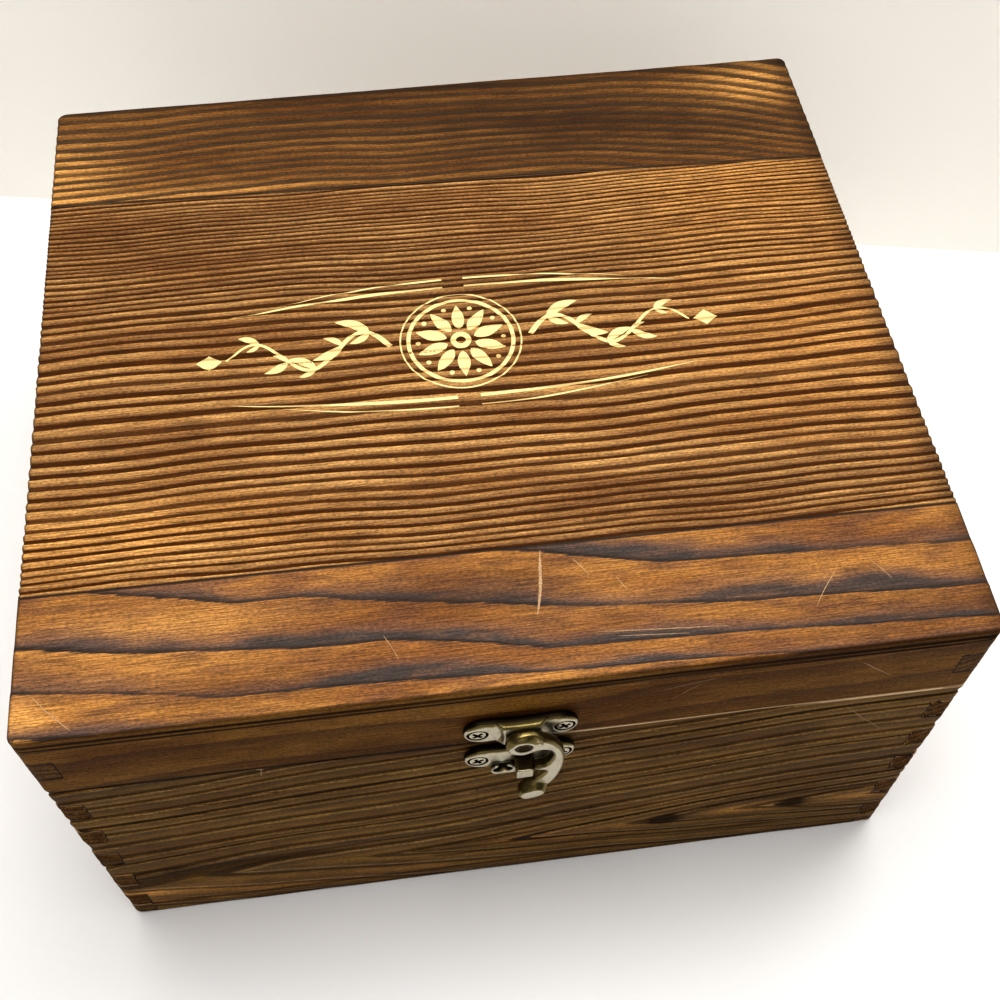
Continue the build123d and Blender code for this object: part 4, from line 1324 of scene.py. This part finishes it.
def pale_scratch():
    """Bare wood and scuffed wax in a scratch."""
    wood = bpy.context.scene.pine_box_wood
    material, tree, shader = new_material("pale_scratch")
    fibre = noise(tree, stretched(tree, attribute(tree, "grain", "Vector"), (2.2, 3.0, 3.0)), 1.0, 3.0, 0.7)
    feed(tree, shader.inputs["Base Color"], mixed(tree, eased(tree, fibre, 0.35, 0.62), (0.20, 0.105, 0.05), [0.85 * c for c in wood.bare_wood]))
    feed(tree, shader.inputs["Roughness"], eased(tree, fibre, 0.3, 0.7, 0.5, 0.7))
    feed(tree, shader.inputs["Normal"], bumped(tree, fibre, 0.1 * MM, 0.6))
    return material


class ScratchLid(bpy.types.Operator):
    """Scratch the front strip and the two front boards where they are scuffed"""
    bl_idname = "pine_box.scratches"
    bl_label = "Lid scratches"

    def execute(self, context):
        draw = np.random.default_rng(5)
        scratched = (("lid_scratches", "lid", SCRATCHES, None), ("lid_front_scratches", "lid", LID_FRONT_SCRATCHES, board_timbers("lid")[0]),
                     ("tray_front_scratches", "base", TRAY_FRONT_SCRATCHES, board_timbers("base")[0]))
        for name, body, marks, board in scratched:
            ribbons = Ribbons()
            for start, end, width in marks:
                share = np.linspace(0, 1, max(12, int(np.hypot(end[0] - start[0], end[1] - start[1]) / 0.35)))
                path = np.array(start) + (np.array(end) - np.array(start)) * share[:, None]
                path[:, 0] += 0.25 * np.sin(share * 5 + draw.uniform(0, 6)) * np.hypot(*(np.array(end) - start)) / 18
                ribbons.add(path, width * np.sin(math.pi * share) ** 0.5 * draw.uniform(0.55, 1.0, len(share)) + 0.02)
            piece = ribbons.finish(name, SCRATCH_LIFT, board)
            piece.data.materials.append(once(pale_scratch))
            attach(piece, body)
        return {"FINISHED"}


class BuildLatch(bpy.types.Operator):
    """Cast the two latch plates, the hook and its rivet, and turn the screws"""
    bl_idname = "pine_box.latch"
    bl_label = "Latch"

    def execute(self, context):
        plate_metal = once(antique_bronze, "antique_bronze_plate")
        hook_metal = once(antique_bronze, "antique_bronze_hook", 0.06)
        screw_metal = once(antique_bronze, "screw_bronze", 0.02)
        reach, high, low = WING_X + WING_RADIUS + 0.3, WING_RADIUS + 0.3, WING_RADIUS + 0.3
        cast_piece("latch_plate_cast", "lid", "antique_bronze", "latch_plate", latch_plate_field,
                   (-reach, -0.3, UPPER_PLATE_Z - low - 0.4), (reach, BOSS_FRONT + 0.4, UPPER_PLATE_Z + high + 0.4), plate_metal)
        cast_piece("keeper_plate_cast", "base", "antique_bronze", "keeper_plate", keeper_field,
                   (-reach, -0.3, LOWER_PLATE_Z + SILL_LOW - 0.4), (reach, HOOK_FRONT + 0.3, LOWER_PLATE_Z + high), plate_metal)
        cast_piece("latch_hook_cast", "hook", "antique_bronze", "latch_hook", hook_field,
                   (-4.7, HOOK_BACK - 0.3, PIVOT_Z - 29.5), (10.8, FOOT_FRONT + 0.3, PIVOT_Z + 4.8), hook_metal)
        # The rivet is darkened nearly all over: patina in its dish, plus painted shade that keeps the dish dark
        cast_piece("latch_rivet_turned", "lid", "antique_bronze", "latch_rivet", rivet_field,
                   (-2.6, -0.2, PIVOT_Z - 2.6), (2.6, HOOK_FRONT + 0.2, PIVOT_Z + 2.6),
                   once(antique_bronze, "antique_bronze_dish", -0.35, 0.68), SCREW_CELL, 0.3)
        edge = SCREW_X + SCREW_HEAD + 0.2
        for name, body, node, height, turns in (
                ("latch_plate_screws_turned", "lid", "latch_plate_screws", UPPER_PLATE_Z, (0.75, 0.55)),
                ("keeper_plate_screws_turned", "base", "keeper_plate_screws", LOWER_PLATE_Z, (0.5, 1.2))):
            cast_piece(name, body, "screw_metal", node, lambda x, t, z, height=height, turns=turns: screw_field(height, turns, x, t, z),
                       (-edge, -SCREW_GRIP - 0.2, height - SCREW_HEAD - 0.2), (edge, WING_FRONT + 0.2, height + SCREW_HEAD + 0.2),
                       screw_metal, SCREW_CELL)
        return {"FINISHED"}


class DressHinges(bpy.types.Operator):
    """Ease the edges of the two hinges and give them their finish"""
    bl_idname = "pine_box.hinges"
    bl_label = "Hinges"

    def execute(self, context):
        for name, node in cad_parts.items():
            if "hinge" not in name:
                continue
            screws = "screws" in name
            material = once(antique_bronze, "hinge_screw_bronze" if screws else "antique_bronze_hinge", 0.12)
            node.data.materials.clear()
            node.data.materials.append(material)
            weld = node.modifiers.new("weld", "WELD")
            weld.merge_threshold = 0.001 * MM
            bevel = node.modifiers.new("bevel", "BEVEL")
            bevel.width = 0.12 * MM
            bevel.segments = 2
            bevel.limit_method = "ANGLE"
        return {"FINISHED"}


def register():
    for item in CLASSES:
        bpy.utils.register_class(item)
    bpy.types.Scene.pine_box_wood = PointerProperty(type=WoodSettings)
    bpy.types.Scene.pine_box_latch = PointerProperty(type=LatchSettings)
    bpy.types.Scene.pine_box_stage = PointerProperty(type=StageSettings)


def unregister():
    del bpy.types.Scene.pine_box_stage
    del bpy.types.Scene.pine_box_latch
    del bpy.types.Scene.pine_box_wood
    for item in reversed(CLASSES):
        bpy.utils.unregister_class(item)


def see_through_from_behind(tree, shader):
    """The wall hides nothing from a camera that looks from behind it."""
    clear = tree.nodes.new("ShaderNodeBsdfTransparent")
    choice = tree.nodes.new("ShaderNodeMixShader")
    output = next(node for node in tree.nodes if node.type == "OUTPUT_MATERIAL")
    tree.links.new(tree.nodes.new("ShaderNodeNewGeometry").outputs["Backfacing"], choice.inputs["Fac"])
    tree.links.new(shader.outputs["BSDF"], choice.inputs[1])
    tree.links.new(clear.outputs["BSDF"], choice.inputs[2])
    tree.links.new(choice.outputs["Shader"], output.inputs["Surface"])


class BuildStage(bpy.types.Operator):
    """Set the table, the wall, the soft lights and the camera"""
    bl_idname = "pine_box.stage"
    bl_label = "Stage"

    def execute(self, context):
        settings = context.scene.pine_box_stage
        corner = np.array([-179.6, 213.0]), np.array([239.2, 127.6])
        run = (corner[1] - corner[0]) / np.linalg.norm(corner[1] - corner[0])
        back = np.array([-run[1], run[0]])
        left, right = corner[0] - run * 1200, corner[1] + run * 1200
        near, far = [right - back * 2600, left - back * 2600], [right + back * 1400, left + back * 1400]
        floor = add_object("table", np.array([[*far[1], 0], [*near[1], 0], [*near[0], 0], [*far[0], 0]]), [[0, 1, 2, 3]])
        top = 1500.0
        wall = add_object("wall", np.array([[*left, -1], [*right, -1], [*right, top], [*left, top]]), [[0, 1, 2, 3]])
        for piece, colour in ((floor, settings.floor), (wall, settings.wall)):
            material, tree, shader = new_material(piece.name + "_paint")
            mottle = noise(tree, tree.nodes.new("ShaderNodeTexCoord").outputs["Object"], 6.0, 3.0)
            tone = mixed(tree, eased(tree, mottle, 0.3, 0.7), [0.985 * c for c in colour], tuple(colour))
            feed(tree, shader.inputs["Base Color"], tone)
            shader.inputs["Roughness"].default_value = 0.55
            if piece is wall:
                feed(tree, shader.inputs["Emission Color"], tone)
                shader.inputs["Emission Strength"].default_value = 0.245
                see_through_from_behind(tree, shader)
            piece.data.materials.append(material)
        power = settings.light_power
        self.add_light("ceiling", (-60, -60, 950), (0, 0, 60), 620, power, (1.0, 0.985, 0.96))
        self.add_light("window", (262, 66, 560), (40, -40, 80), 230, power * 0.13, (1.0, 0.99, 0.97))
        self.add_light("room", (-150, -900, 520), (0, -60, 60), 600, power * 0.10, (1.0, 0.96, 0.9))
        world = bpy.data.worlds.new("soft_room")
        world.use_nodes = True
        world.node_tree.nodes["Background"].inputs["Color"].default_value = (0.92, 0.93, 0.95, 1)
        world.node_tree.nodes["Background"].inputs["Strength"].default_value = 0.16
        context.scene.world = world
        camera = bpy.data.cameras.new("camera")
        camera.sensor_width = 36.0
        camera.lens = 46.767
        camera.clip_start, camera.clip_end = 0.02, 20.0
        holder = bpy.data.objects.new("camera", camera)
        holder.location = Vector((-24.13, -230.885, 395.878)) * MM
        holder.rotation_euler = Euler([math.radians(turn) for turn in (33.649, -0.5275, -7.507)])
        context.scene.collection.objects.link(holder)
        context.scene.camera = holder
        context.scene.view_settings.view_transform = "Standard"
        context.scene.view_settings.look = "Medium High Contrast"
        return {"FINISHED"}

    def add_light(self, name, place, aim, size, power, colour):
        lamp = bpy.data.lights.new(name, "AREA")
        lamp.shape = "DISK"
        lamp.size = size * MM
        lamp.energy = power
        lamp.color = colour
        holder = bpy.data.objects.new(name, lamp)
        holder.location = Vector(place) * MM
        holder.rotation_euler = (Vector(aim) - Vector(place)).to_track_quat("-Z", "Y").to_euler()
        bpy.context.scene.collection.objects.link(holder)


class BoxPanel(bpy.types.Panel):
    """Lists the steps that build the box"""
    bl_idname = "VIEW3D_PT_pine_box"
    bl_label = "Pine Box"
    bl_space_type = "VIEW_3D"
    bl_region_type = "UI"
    bl_category = "Pine Box"

    def draw(self, context):
        for step in STEPS:
            self.layout.operator(step.bl_idname)


STEPS = (BuildStage, BuildBoards, BuildLidPanel, BuildBottom, BuildOrnament, ScratchLid, BuildLatch, DressHinges)
CLASSES = (WoodSettings, LatchSettings, StageSettings, *STEPS, BoxPanel)


def main():
    register()
    for step in STEPS:
        group, name = step.bl_idname.split(".")
        getattr(getattr(bpy.ops, group), name)()


if __name__ == "__main__":
    main()
